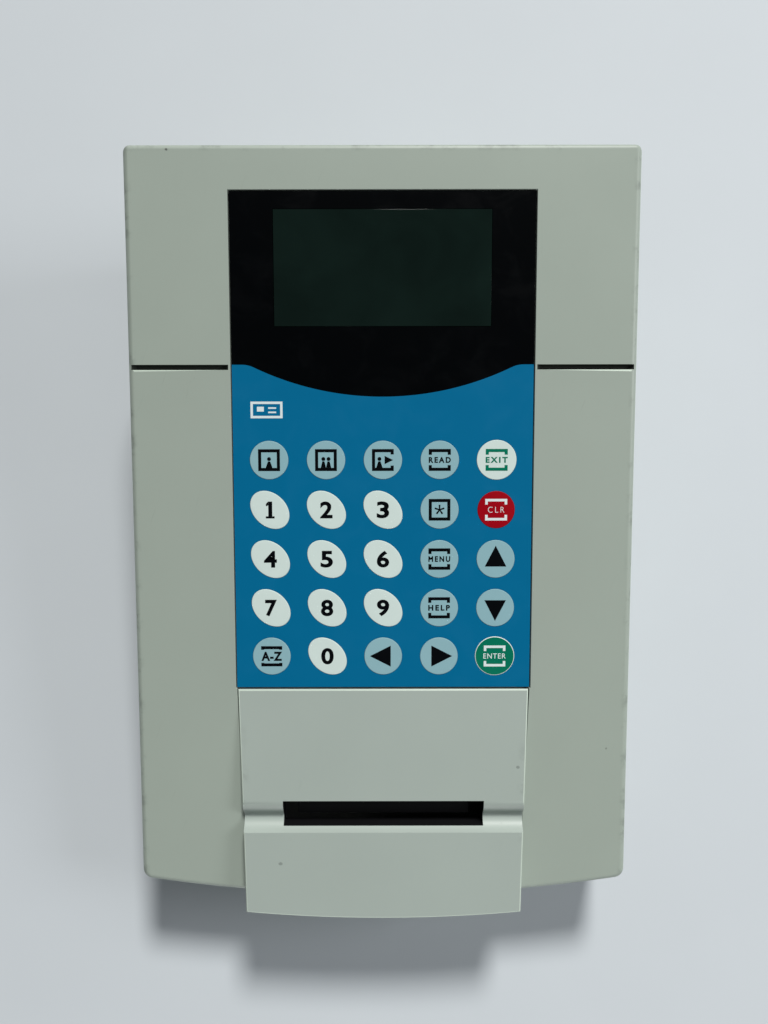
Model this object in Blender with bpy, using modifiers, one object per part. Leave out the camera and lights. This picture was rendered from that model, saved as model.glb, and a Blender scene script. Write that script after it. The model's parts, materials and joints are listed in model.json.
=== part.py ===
"""Front-desk key-card encoder: a wedge-shaped desk unit with a display, a membrane keypad and a card reader.

Metres, +Z up.  The front of the unit faces -Y and the origin lies on the desk, under the middle of the unit.
Two empties carry most of the pieces.  deck_frame lies in the sloping face: x across, y up the slope from the
rear edge, z out of the face.  reader_frame lies in the card's path: x across, y into the unit, z above the card.
"""
import math

import bmesh
import bpy
from mathutils import Matrix, Vector

# ------------------------------------------------------------------ driving dimensions
# Housing
width = 0.190
face_length = 0.2873
front_radius = 0.600
rear_height = 0.098
front_height = 0.0383
wall = 0.0025
corner_radius = 0.003
edge_radius = 0.0022
split_height = 0.016
gap = 0.0003

# Side grooves between the display section and the wings
groove_start = 0.0798
groove_width = 0.0022
groove_depth = 0.0015
groove_inner_margin = 0.00125
groove_outer_margin = 0.0012

# Overlay, its pocket and the key switches under it
overlay_width = 0.1125
overlay_top = 0.0171
overlay_bottom = 0.2026
overlay_thickness = 0.0011
overlay_recess = 0.0003
circuit_top = 0.0980
circuit_thickness = 0.0006
circuit_margin = 0.0015
key_travel = 0.0005
key_emboss = 0.0002
key_thickness = 0.0010

# Keypad layout
key_pitch_x = 0.0214
key_pitch_y = 0.0188
key_first_row = 0.11525
soft_key_diameter = 0.0147
ellipse_long = 0.0166
ellipse_short = 0.0124
ellipse_turn = math.radians(-43.0)
exit_key_diameter = 0.0152
clear_key_diameter = 0.0143
enter_key_diameter = 0.0154

# Display
window_width = 0.0805
window_height = 0.0423
window_top = 0.0235
window_ledge = 0.0018
lcd_glass_thickness = 0.0020
lcd_bezel_border = 0.0062
lcd_bezel_height = 0.0030
lcd_board_border = 0.0025
board_thickness = 0.0016

# Reader cover: the tongue that rises out of the face towards the front
cover_joint = 0.0009
cover_overhang = 0.0036
cover_rise = 0.0084
cover_width_rear = 0.1120
cover_width_front = 0.1054
cover_skirt = 0.0100
scoop_start = 0.2461
scoop_corner = 0.2532
scoop_end = 0.2583
scoop_depth = 0.0040
mouth_width = 0.0774
mouth_start = 0.2462
mouth_end = 0.2568
mouth_rib = 0.0065
mouth_rib_margin = 0.0038

# Card path and transport
card_dip = math.radians(20.52)
card_above_sill = 0.0009
card_width = 0.0540
card_slack = 0.0008
card_half_gap = 0.0009
rail_height = 0.0018
guide_start_offset = 0.0043
guide_end_offset = 0.0863
guide_thickness = 0.0020
guide_lip_length = 0.0070
guide_lip_drop = 0.0047
chassis_width = 0.0704
chassis_wall = 0.0015
chassis_start_offset = 0.0103
chassis_end_offset = 0.0703
chassis_floor = 0.0215
chassis_top_front = 0.0030
chassis_top_rear = 0.0125
chassis_shoulder_offset = 0.0383
roller_offset = 0.0283
roller_gap = 0.0004
roller_width = 0.0120
drive_roller_diameter = 0.0140
drive_shaft_diameter = 0.0040
drive_pulley_diameter = 0.0140
pressure_roller_diameter = 0.0080
pressure_axle_diameter = 0.0030
motor_diameter = 0.0160
motor_length = 0.0300
motor_offset = 0.0483
motor_depth = 0.0118
motor_bore_depth = 0.0050
motor_shaft_diameter = 0.0020
motor_pulley_diameter = 0.0090
pulley_width = 0.0042
pulley_offset = 0.0010
belt_width = 0.0030
belt_thickness = 0.0010
shutter_offset = 0.0173
shutter_height = 0.0030
shutter_trunnion_diameter = 0.0024
shutter_thickness = 0.0008
shutter_floor_gap = 0.0004
head_place_offset = 0.0423
head_across = 0.0180
head_width = 0.0080
head_length = 0.0100
head_height = 0.0080
head_pin_offset = 0.0623
head_pin_height = 0.0095
head_pin_diameter = 0.0030
head_hub_diameter = 0.0062
head_arm_thickness = 0.0015

# Main board and rear sockets
main_board_width = 0.140
main_board_front_gap = 0.0065
main_board_rear_gap = 0.0040
main_board_height = 0.0170
standoff_diameter = 0.0060
standoff_inset = 0.0080
socket_recess = 0.0004
power_socket_size = (0.0092, 0.0130, 0.0110)
power_socket_bore = 0.0064
power_socket_place = -0.0520
network_socket_size = (0.0160, 0.0150, 0.0135)
network_port_size = (0.0118, 0.0110, 0.0080)
network_socket_place = 0.0480
serial_socket_size = (0.0220, 0.0120, 0.0120)
serial_port_size = (0.0170, 0.0058, 0.0084)
serial_socket_place = 0.0100
ribbon_width = 0.0160
ribbon_thickness = 0.0004
ribbon_place = 0.0380
ribbon_slack = 0.0060
ribbon_slot = 0.0030

# Fasteners and feet
screw_side_inset = 0.0110
screw_rear_inset = 0.0160
screw_front_inset = 0.0300
screw_head_diameter = 0.0060
screw_head_height = 0.0021
screw_shank_diameter = 0.0030
screw_length = 0.0150
boss_diameter = 0.0110
post_diameter = 0.0080
counterbore_height = 0.0090
foot_diameter = 0.0140
foot_height = 0.0030
foot_side_inset = 0.0250
foot_rear_inset = 0.0340
foot_front_inset = 0.0460

# ------------------------------------------------------------------ derived sizes and frames
face_slope = math.asin((rear_height - front_height) / face_length)
cover_start = overlay_bottom + cover_joint
cover_end = face_length + cover_overhang
depth = cover_end * math.cos(face_slope) + cover_rise * math.sin(face_slope)
rear_y = depth / 2
front_y = -depth / 2
deck = Matrix.Translation((0, rear_y, rear_height)) @ Matrix.Rotation(face_slope, 4, 'X')
deck_inverse = deck.inverted()
cover_pitch = math.atan2(cover_rise, cover_end - cover_start)
pocket_floor = overlay_recess + overlay_thickness + gap + circuit_thickness + gap
tray_floor = pocket_floor + wall
chassis_half = chassis_width / 2
chassis_inner = chassis_half - chassis_wall
pulley_start = chassis_half + pulley_offset
pulley_end = pulley_start + pulley_width
drive_height = -roller_gap - drive_roller_diameter / 2
pressure_height = roller_gap + pressure_roller_diameter / 2

KEY_NAMES = (
    ("key_single_guest", "key_double_guest", "key_check_out", "key_read", "key_exit"),
    ("key_1", "key_2", "key_3", "key_star", "key_clear"),
    ("key_4", "key_5", "key_6", "key_menu", "key_up"),
    ("key_7", "key_8", "key_9", "key_help", "key_down"),
    ("key_letters", "key_0", "key_left", "key_right", "key_enter"),
)
SPECIAL_KEY_DIAMETERS = {
    "key_exit": exit_key_diameter,
    "key_clear": clear_key_diameter,
    "key_enter": enter_key_diameter,
}


def cover_surface(v):
    """Height of the reader cover's top above the face, at a distance v down the face."""
    return (v - cover_start) * math.tan(cover_pitch)


# The card slides in over the sill and dips under the cover's top.  The throat is where it has passed the wall,
# and everything along the card's path is placed from there.
sill_v = (mouth_end + scoop_end) / 2
reader_origin = deck @ Vector((0, -sill_v, cover_surface(sill_v) + card_above_sill))
reader = Matrix.Translation(reader_origin) @ Matrix.Rotation(face_slope - cover_pitch - card_dip, 4, 'X')
throat = (wall + card_above_sill) / math.sin(card_dip)
guide_start = throat + guide_start_offset
guide_end = throat + guide_end_offset
chassis_start = throat + chassis_start_offset
chassis_end = throat + chassis_end_offset
chassis_shoulder = throat + chassis_shoulder_offset
shutter_place = throat + shutter_offset
roller_place = throat + roller_offset
motor_place = throat + motor_offset
head_place = throat + head_place_offset
head_pin_place = throat + head_pin_offset

main_board_front = (reader @ Vector((0, guide_end, 0))).y + main_board_front_gap
screw_across = width / 2 - screw_side_inset
foot_across = width / 2 - foot_side_inset
groove_inner = overlay_width / 2 + groove_inner_margin
groove_outer = width / 2 - groove_outer_margin


# ------------------------------------------------------------------ scene, collections and materials
def clear_scene():
    for item in list(bpy.data.objects):
        bpy.data.objects.remove(item, do_unlink=True)


def new_collection(name):
    collection = bpy.data.collections.new(name)
    bpy.context.scene.collection.children.link(collection)
    return collection


def new_material(name, colour, roughness, metallic=0.0):
    material = bpy.data.materials.new(name)
    material.use_nodes = True
    surface = material.node_tree.nodes["Principled BSDF"]
    surface.inputs["Base Color"].default_value = (*colour, 1.0)
    surface.inputs["Roughness"].default_value = roughness
    surface.inputs["Metallic"].default_value = metallic
    return material


clear_scene()
parts = new_collection("key_card_encoder")
cutters = new_collection("cutters")

housing_grey = new_material("housing_grey", (0.33, 0.37, 0.34), 0.55)
base_grey = new_material("base_grey", (0.16, 0.18, 0.17), 0.60)
overlay_blue = new_material("overlay_blue", (0.0, 0.12, 0.28), 0.40)
key_grey = new_material("key_grey", (0.32, 0.45, 0.50), 0.40)
key_white = new_material("key_white", (0.72, 0.75, 0.74), 0.40)
key_red = new_material("key_red", (0.42, 0.0, 0.012), 0.40)
key_green = new_material("key_green", (0.0, 0.17, 0.10), 0.40)
window_smoke = new_material("window_smoke", (0.012, 0.016, 0.015), 0.08)
lcd_film = new_material("lcd_film", (0.02, 0.03, 0.026), 0.15)
black_plastic = new_material("black_plastic", (0.01, 0.01, 0.011), 0.45)
rubber_black = new_material("rubber_black", (0.015, 0.015, 0.015), 0.85)
steel = new_material("steel", (0.55, 0.55, 0.56), 0.30, 1.0)
zinc_plate = new_material("zinc_plate", (0.60, 0.60, 0.58), 0.40, 1.0)
circuit_green = new_material("circuit_green", (0.01, 0.12, 0.05), 0.45)
circuit_film = new_material("circuit_film", (0.55, 0.56, 0.50), 0.50)


# ------------------------------------------------------------------ frames
def new_frame(name, matrix):
    frame = bpy.data.objects.new(name, None)
    frame.matrix_world = matrix
    frame.empty_display_size = 0.02
    parts.objects.link(frame)
    return frame


deck_frame = new_frame("deck_frame", deck)
reader_frame = new_frame("reader_frame", reader)


# ------------------------------------------------------------------ mesh helpers
def add_box(mesh, low, high):
    low, high = Vector(low), Vector(high)
    place = Matrix.Translation((low + high) / 2) @ Matrix.Diagonal((*(high - low), 1.0))
    bmesh.ops.create_cube(mesh, size=1.0, matrix=place)


def box(low, high):
    mesh = bmesh.new()
    add_box(mesh, low, high)
    return mesh


def add_cylinder(mesh, start, length, diameter, axis='Z', segments=16, end_diameter=None):
    """A cylinder or cone that runs from its start point along +axis."""
    turn = {'X': Matrix.Rotation(math.pi / 2, 4, 'Y'), 'Y': Matrix.Rotation(-math.pi / 2, 4, 'X'), 'Z': Matrix()}
    place = Matrix.Translation(start) @ turn[axis] @ Matrix.Translation((0, 0, length / 2))
    bmesh.ops.create_cone(
        mesh, cap_ends=True, segments=segments, radius1=diameter / 2,
        radius2=(end_diameter or diameter) / 2, depth=length, matrix=place)


def cylinder(*shape, **options):
    mesh = bmesh.new()
    add_cylinder(mesh, *shape, **options)
    return mesh


def outline_solid(points, low, high):
    """A flat outline in x and y, filled and given its height in z."""
    curve = bpy.data.curves.new("outline", 'CURVE')
    curve.dimensions = '2D'
    curve.fill_mode = 'BOTH'
    curve.extrude = (high - low) / 2
    spline = curve.splines.new('POLY')
    spline.points.add(len(points) - 1)
    for knot, (x, y) in zip(spline.points, points):
        knot.co = (x, y, 0, 1)
    spline.use_cyclic_u = True
    guide = bpy.data.objects.new("outline", curve)
    cutters.objects.link(guide)
    evaluated = guide.evaluated_get(bpy.context.evaluated_depsgraph_get())
    flat = bpy.data.meshes.new_from_object(evaluated)
    bpy.data.objects.remove(guide)
    mesh = bmesh.new()
    mesh.from_mesh(flat)
    bmesh.ops.remove_doubles(mesh, verts=mesh.verts, dist=0.000001)
    bmesh.ops.translate(mesh, verts=mesh.verts, vec=(0, 0, (low + high) / 2))
    bmesh.ops.dissolve_limit(mesh, angle_limit=0.001, verts=mesh.verts, edges=mesh.edges)
    return mesh


def bar_across(points, left, right):
    """A profile in y and z, run across from x = left to x = right."""
    mesh = outline_solid(points, left, right)
    swing = Matrix(((0, 0, 1, 0), (1, 0, 0, 0), (0, 1, 0, 0), (0, 0, 0, 1)))
    bmesh.ops.transform(mesh, matrix=swing, verts=mesh.verts)
    return mesh


def keep_behind(mesh, point, normal):
    """Cut the mesh flat and drop what lies on the normal's side."""
    geometry = mesh.verts[:] + mesh.edges[:] + mesh.faces[:]
    bmesh.ops.bisect_plane(mesh, geom=geometry, dist=1e-7, plane_co=point, plane_no=normal, clear_outer=True)
    rim = [edge for edge in mesh.edges if edge.is_boundary]
    bmesh.ops.holes_fill(mesh, edges=rim, sides=0)


def keep_in_world(mesh, point, normal):
    """keep_behind for a mesh in the face's frame, with the plane given above the desk."""
    keep_behind(mesh, deck_inverse @ Vector(point), deck_inverse.to_3x3() @ Vector(normal))


def soften(mesh, edges, radius, segments):
    bmesh.ops.bevel(
        mesh, geom=edges, offset=radius, offset_type='OFFSET', segments=segments, profile=0.5,
        affect='EDGES', clamp_overlap=True, material=-1)


def new_piece(name, mesh, material, frame=None, place=(0, 0, 0), collection=None):
    data = bpy.data.meshes.new(name)
    bmesh.ops.recalc_face_normals(mesh, faces=mesh.faces)
    mesh.to_mesh(data)
    mesh.free()
    data.materials.append(material)
    piece = bpy.data.objects.new(name, data)
    (collection or parts).objects.link(piece)
    piece.parent = frame
    piece.location = place
    data.set_sharp_from_angle(angle=math.radians(35))
    return piece


def shape_with(piece, name, mesh, operation, frame=None):
    """Cut a shape from a piece, or join one to it, with a guide that isn't part of the unit."""
    guide = new_piece(name, mesh, black_plastic, frame, collection=cutters)
    guide.hide_render = True
    guide.display_type = 'WIRE'
    modifier = piece.modifiers.new(name, 'BOOLEAN')
    modifier.operation = operation
    modifier.solver = 'EXACT'
    modifier.object = guide


def cut(piece, name, mesh, frame=None):
    shape_with(piece, name, mesh, 'DIFFERENCE', frame)


def join(piece, name, mesh, frame=None):
    shape_with(piece, name, mesh, 'UNION', frame)


def turned_piece(name, profile, material, frame=None, place=(0, 0, 0), closed=False, across=False, steps=20):
    """A profile of radius and height, top to bottom on its outer side, turned round its own axis."""
    data = bpy.data.meshes.new(name)
    mesh = bmesh.new()
    knots = [mesh.verts.new((radius, 0, height)) for radius, height in profile]
    for first, second in zip(knots, knots[1:] + knots[:1] if closed else knots[1:]):
        mesh.edges.new((first, second))
    mesh.to_mesh(data)
    mesh.free()
    data.materials.append(material)
    piece = bpy.data.objects.new(name, data)
    parts.objects.link(piece)
    piece.parent = frame
    piece.location = place
    if across:
        piece.rotation_euler = (0, math.pi / 2, 0)
    screw = piece.modifiers.new("turn", 'SCREW')
    screw.axis = 'Z'
    screw.steps = steps
    screw.render_steps = steps
    screw.use_merge_vertices = True
    screw.merge_threshold = 0.00001
    screw.use_smooth_shade = True
    return piece


# ------------------------------------------------------------------ housing and base
def face_outline(inset):
    """Plan of the face: straight rear edge and sides, and one long convex arc at the front."""
    half = width / 2 - inset
    centre = front_radius - face_length
    radius = front_radius - inset
    steps = 16
    points = [(half, -inset), (-half, -inset)]
    for step in range(steps + 1):
        x = -half + 2 * half * step / steps
        points.append((x, centre - math.sqrt(radius * radius - x * x)))
    return points


def wedge(inset, low, high=None):
    """The unit's outer form drawn in by an inset, cut flat at one or two heights above the desk."""
    mesh = outline_solid(face_outline(inset), -2 * rear_height, -inset)
    keep_in_world(mesh, (0, rear_y - inset, 0), (0, 1, 0))
    keep_in_world(mesh, (0, 0, low), (0, 0, -1))
    if high is not None:
        keep_in_world(mesh, (0, 0, high), (0, 0, 1))
    return mesh


def upright_corners(mesh):
    def is_corner(edge):
        across = edge.verts[0].co - edge.verts[1].co
        return abs(across.x) < 1e-6 and len(edge.link_faces) == 2 and edge.calc_face_angle() > 1.0

    def side_on(edge):
        middle = (edge.verts[0].co + edge.verts[1].co) / 2
        faces = [face.normal for face in edge.link_faces]
        flat = all(abs(normal.z) < 0.5 for normal in faces)
        return flat and abs(middle.x) > width / 2 - 0.001

    return [edge for edge in mesh.edges if is_corner(edge) and side_on(edge)]


def face_rim(mesh):
    """The edges round the flat face."""
    top = max(vertex.co.z for vertex in mesh.verts)
    return [edge for edge in mesh.edges
            if all(vertex.co.z > top - 1e-6 for vertex in edge.verts) and edge.calc_face_angle(0) > 0.5]


def boss_places():
    for side in (-1, 1):
        yield side * screw_across, rear_y - screw_rear_inset
        yield side * screw_across, front_y + screw_front_inset


def face_height(y):
    """Height of the face above the desk at a place y along the unit."""
    return rear_height - (rear_y - y) * math.tan(face_slope)


def socket_bodies():
    """Name, place across and size of each rear socket."""
    return (
        ("power_socket", power_socket_place, power_socket_size),
        ("serial_socket", serial_socket_place, serial_socket_size),
        ("network_socket", network_socket_place, network_socket_size),
    )


socket_floor = main_board_height + board_thickness + gap


def overlay_box(margin, top, bottom):
    """A block under the overlay's outline, between two depths below the face."""
    half = overlay_width / 2 + margin
    return box((-half, -overlay_bottom - margin, -bottom), (half, -overlay_top + margin, -top))


def window_box(margin, top, bottom):
    """A block under the display window's outline, between two depths below the face."""
    half = window_width / 2 + margin
    low = (-half, -window_top - window_height - margin, -bottom)
    return box(low, (half, -window_top + margin, -top))


def ribbon_top_place():
    return circuit_top + 0.002


def make_top_housing():
    shell = wedge(0, split_height + gap / 2)
    soften(shell, upright_corners(shell), corner_radius, 2)
    shell.normal_update()
    soften(shell, face_rim(shell), edge_radius, 2)
    housing = new_piece("top_housing", shell, housing_grey, deck_frame)
    cut(housing, "housing_hollow", wedge(wall, split_height - wall), deck_frame)
    join(housing, "overlay_tray", overlay_box(wall, wall / 2, tray_floor), deck_frame)

    posts = bmesh.new()
    for x, y in boss_places():
        foot = split_height - gap / 2
        head = face_height(y) - wall / 2
        add_cylinder(posts, (x, y, foot), head - foot, post_diameter, segments=12)
    join(housing, "screw_posts", posts)

    cut(housing, "overlay_pocket", overlay_box(gap, -wall, pocket_floor), deck_frame)
    cut(housing, "window_opening", window_box(-window_ledge, 0, 2 * tray_floor), deck_frame)

    slot_half = ribbon_width / 2 + 2 * gap
    slot_v = ribbon_top_place()
    ribbon_opening = box(
        (ribbon_place - slot_half, -slot_v - ribbon_slot / 2, -2 * tray_floor),
        (ribbon_place + slot_half, -slot_v + ribbon_slot / 2, 0))
    cut(housing, "ribbon_slot", ribbon_opening, deck_frame)

    cut(housing, "cover_opening", cover_block(-gap, 2 * cover_rise, 0), deck_frame)

    grooves = bmesh.new()
    for side in (-1, 1):
        ends = sorted((side * groove_inner, side * groove_outer))
        add_box(grooves, (ends[0], -groove_start - groove_width, -groove_depth), (ends[1], -groove_start, wall))
    cut(housing, "side_grooves", grooves, deck_frame)

    holes = bmesh.new()
    for x, y in boss_places():
        add_cylinder(holes, (x, y, split_height - wall), screw_length, screw_shank_diameter + 2 * gap, segments=12)
    for _, x, size in socket_bodies():
        half = size[0] / 2 + gap
        low = (x - half, rear_y - 2 * wall, socket_floor - gap)
        add_box(holes, low, (x + half, rear_y + wall, socket_floor + size[2] + gap))
    cut(housing, "screw_and_socket_holes", holes)


def make_base():
    outer = wedge(0, foot_height, split_height - gap / 2)
    soften(outer, upright_corners(outer), corner_radius, 2)
    base = new_piece("base", outer, base_grey, deck_frame)
    cut(base, "base_hollow", wedge(wall, foot_height + wall, rear_height), deck_frame)

    posts = bmesh.new()
    floor = foot_height + wall / 2
    for x, y in boss_places():
        add_cylinder(posts, (x, y, floor), split_height - 3 * gap - floor, boss_diameter, segments=16)
    for x, y in standoff_places():
        add_cylinder(posts, (x, y, floor), main_board_height - gap - floor, standoff_diameter, segments=12)
    join(base, "posts", posts)

    under = reader @ Vector((0, 0, -chassis_floor - gap))
    slope = reader.to_3x3() @ Vector((0, 0, 1))
    rests = bmesh.new()
    for across in (-1, 1):
        for along in (chassis_start + 0.006, chassis_end - 0.010):
            spot = reader @ Vector((across * (chassis_inner - 0.006), along, -chassis_floor))
            add_cylinder(rests, (spot.x, spot.y, floor), rear_height, standoff_diameter, segments=12)
    keep_behind(rests, under, slope)
    join(base, "reader_rests", rests)

    holes = bmesh.new()
    for x, y in boss_places():
        add_cylinder(holes, (x, y, 0), counterbore_height, screw_head_diameter + 2 * gap, segments=16)
    cut(base, "counterbores", holes)
    shanks = bmesh.new()
    for x, y in boss_places():
        add_cylinder(shanks, (x, y, 0), split_height + wall, screw_shank_diameter + 2 * gap, segments=12)
    cut(base, "screw_holes", shanks)


def standoff_places():
    rear = rear_y - wall - main_board_rear_gap - standoff_inset
    for x in (-1, 1):
        for y in (main_board_front + standoff_inset, rear):
            yield x * (main_board_width / 2 - standoff_inset), y


# ------------------------------------------------------------------ reader cover
def cover_outline(inset, rear_inset):
    """Plan of the cover: sides that draw in towards the front, and a convex front end."""
    rear = -cover_start - rear_inset
    radius = front_radius - inset
    centre = front_radius - cover_end
    taper = (cover_width_rear - cover_width_front) / 2
    rear_half = cover_width_rear / 2 - inset
    front_half = cover_width_front / 2 - inset
    steps = 10
    points = [(rear_half + taper * rear_inset / (cover_end - cover_start), rear)]
    points.append((-points[0][0], rear))
    for step in range(steps + 1):
        x = -front_half + 2 * front_half * step / steps
        points.append((x, centre - math.sqrt(radius * radius - x * x)))
    return points


def cover_block(inset, top, rear_inset):
    """The tongue's form drawn in by an inset, up to the cover's slanting top moved by a height."""
    mesh = outline_solid(cover_outline(inset, rear_inset), -2 * rear_height, 3 * cover_rise)
    normal = Vector((0, math.sin(cover_pitch), math.cos(cover_pitch)))
    keep_behind(mesh, Vector((0, -cover_start, 0)) + normal * top, normal)
    return mesh


def slanting_bar(start, end, top, bottom, half):
    """A bar across the cover between two distances down the face and two heights from its top."""
    points = [
        (-start, cover_surface(start) + bottom),
        (-start, cover_surface(start) + top),
        (-end, cover_surface(end) + top),
        (-end, cover_surface(end) + bottom),
    ]
    return bar_across(points, -half, half)


def make_reader_cover():
    shell = cover_block(0, 0, 0)
    keep_in_world(shell, (0, 0, split_height + gap / 2), (0, 0, -1))
    cover = new_piece("reader_cover", shell, housing_grey, deck_frame)
    hollow = cover_block(wall, -wall, -wall)
    cut(cover, "cover_hollow", hollow, deck_frame)

    inner_half = cover_width_front / 2 - wall / 2
    rib_start = mouth_start - mouth_rib_margin
    rib_end = mouth_end + mouth_rib_margin
    rib = slanting_bar(rib_start, rib_end, -wall / 2, -wall - mouth_rib, inner_half)
    join(cover, "mouth_rib", rib, deck_frame)

    scoop = bar_across([
        (-scoop_start, cover_surface(scoop_start)),
        (-scoop_start, cover_surface(scoop_start) + cover_rise),
        (-scoop_end, cover_surface(scoop_end) + cover_rise),
        (-scoop_end, cover_surface(scoop_end)),
        (-scoop_corner, cover_surface(scoop_corner) - scoop_depth),
    ], -width / 2, width / 2)
    cut(cover, "scoop", scoop, deck_frame)

    half = mouth_width / 2
    mouth = slanting_bar(mouth_start, mouth_end, cover_rise, -2 * mouth_rib - wall, half)
    cut(cover, "mouth", mouth, deck_frame)
    relief_start = rib_start - wall
    relief = slanting_bar(relief_start, mouth_start + gap, -wall, -2 * mouth_rib - wall, half)
    cut(cover, "card_relief", relief, deck_frame)

    skirt_end = cover_end - 3 * wall
    skirt = box((-width / 2, -skirt_end, -2 * rear_height), (width / 2, wall, -cover_skirt))
    cut(cover, "skirt_trim", skirt, deck_frame)


# ------------------------------------------------------------------ overlay, keys and display
def key_shape(name):
    """Length, width and turn of a key's outline."""
    if name[-1].isdigit():
        return ellipse_long, ellipse_short, ellipse_turn
    diameter = SPECIAL_KEY_DIAMETERS.get(name, soft_key_diameter)
    return diameter, diameter, 0.0


def key_places():
    for row, names in enumerate(KEY_NAMES):
        for column, name in enumerate(names):
            yield name, (column - 2) * key_pitch_x, key_first_row + row * key_pitch_y


def add_key_solid(mesh, name, place, margin, top, bottom):
    long, short, turn = key_shape(name)
    matrix = (Matrix.Translation((place[0], place[1], (top + bottom) / 2)) @ Matrix.Rotation(turn, 4, 'Z')
              @ Matrix.Diagonal((long / 2 + margin, short / 2 + margin, 1, 1)))
    bmesh.ops.create_cone(
        mesh, cap_ends=True, segments=18, radius1=1, radius2=1, depth=top - bottom, matrix=matrix)


def make_overlay():
    film = overlay_box(0, overlay_recess, overlay_recess + overlay_thickness)
    overlay = new_piece("graphic_overlay", film, overlay_blue, deck_frame)
    cut(overlay, "window_hole", window_box(gap, 0, tray_floor), deck_frame)
    holes = bmesh.new()
    for name, u, v in key_places():
        add_key_solid(holes, name, (u, -v), gap, wall, -tray_floor)
    cut(overlay, "key_holes", holes, deck_frame)


def key_material(name):
    if name[-1].isdigit() or name == "key_exit":
        return key_white
    return {"key_clear": key_red, "key_enter": key_green}.get(name, key_grey)


def make_keys():
    for name, u, v in key_places():
        mesh = bmesh.new()
        add_key_solid(mesh, name, (0, 0), 0, 0, -key_thickness)
        new_piece(name, mesh, key_material(name), deck_frame, (u, -v, key_emboss - overlay_recess))


def make_keypad_circuit():
    half = overlay_width / 2 - circuit_margin
    top = -(pocket_floor - gap - circuit_thickness)
    low = (-half, -overlay_bottom + circuit_margin, top - circuit_thickness)
    sheet = box(low, (half, -circuit_top, top))
    circuit = new_piece("keypad_circuit", sheet, circuit_film, deck_frame)
    slot_half = ribbon_width / 2 + 2 * gap
    slot_v = ribbon_top_place()
    notch = box(
        (ribbon_place - slot_half, -slot_v - ribbon_slot / 2, -tray_floor),
        (ribbon_place + slot_half, -slot_v + 2 * ribbon_slot, 0))
    cut(circuit, "ribbon_notch", notch, deck_frame)


def make_keypad_ribbon():
    """A flat strip that drops from the circuit through the tray's slot to the main board."""
    start = deck @ Vector((0, -ribbon_top_place(), -(pocket_floor - gap - circuit_thickness / 2)))
    end = Vector((0, start.y, main_board_height + board_thickness + gap))
    steps = 12
    mesh = bmesh.new()
    previous = None
    for step in range(steps + 1):
        along = step / steps
        middle = start.lerp(end, along)
        middle.y += ribbon_slack * math.sin(math.pi * along) ** 2
        sides = [mesh.verts.new(middle + Vector((side * ribbon_width / 2, 0, 0))) for side in (-1, 1)]
        if previous:
            mesh.faces.new((previous[0], previous[1], sides[1], sides[0]))
        previous = sides
    ribbon = new_piece("keypad_ribbon", mesh, circuit_film, place=(ribbon_place, 0, 0))
    thick = ribbon.modifiers.new("thickness", 'SOLIDIFY')
    thick.thickness = ribbon_thickness
    thick.offset = 0


def make_display():
    window = window_box(0, overlay_recess, pocket_floor - gap)
    new_piece("display_window", window, window_smoke, deck_frame)

    top = tray_floor + gap
    frame = window_box(lcd_bezel_border, top, top + lcd_bezel_height)
    bezel = new_piece("lcd_bezel", frame, zinc_plate, deck_frame)
    lip = 0.0006
    cavity = window_box(lcd_bezel_border / 2, top + lip, top + 2 * lcd_bezel_height)
    cut(bezel, "bezel_cavity", cavity, deck_frame)
    cut(bezel, "bezel_opening", window_box(-window_ledge, 0, top + 2 * lcd_bezel_height), deck_frame)

    glass_top = top + lip + gap
    glass = window_box(lcd_bezel_border / 2 - gap, glass_top, glass_top + lcd_glass_thickness)
    new_piece("lcd_glass", glass, lcd_film, deck_frame)

    board_top = top + lcd_bezel_height + gap
    board = window_box(lcd_bezel_border + lcd_board_border, board_top, board_top + board_thickness)
    new_piece("lcd_board", board, circuit_green, deck_frame)


# ------------------------------------------------------------------ card reader
def make_card_guide():
    floor = -card_half_gap
    under = floor - guide_thickness
    lip = floor - guide_lip_drop
    half = chassis_inner - gap
    profile = [
        (guide_end, floor), (guide_start, floor), (guide_lip_length, lip),
        (guide_lip_length, lip - guide_thickness), (guide_start, under), (guide_end, under),
    ]
    guide = new_piece("card_guide", bar_across(profile, -half, half), black_plastic, reader_frame)
    rails = bmesh.new()
    rail_inner = card_width / 2 + card_slack
    for side in (-1, 1):
        ends = sorted((side * rail_inner, side * half))
        add_box(rails, (ends[0], guide_start, under), (ends[1], guide_end, floor + rail_height))
    join(guide, "card_rails", rails, reader_frame)
    reach = drive_roller_diameter / 2
    window_half = roller_width / 2 + 2 * gap
    window = box(
        (-window_half, roller_place - reach, under - wall), (window_half, roller_place + reach, floor + wall))
    cut(guide, "roller_window", window, reader_frame)


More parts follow.
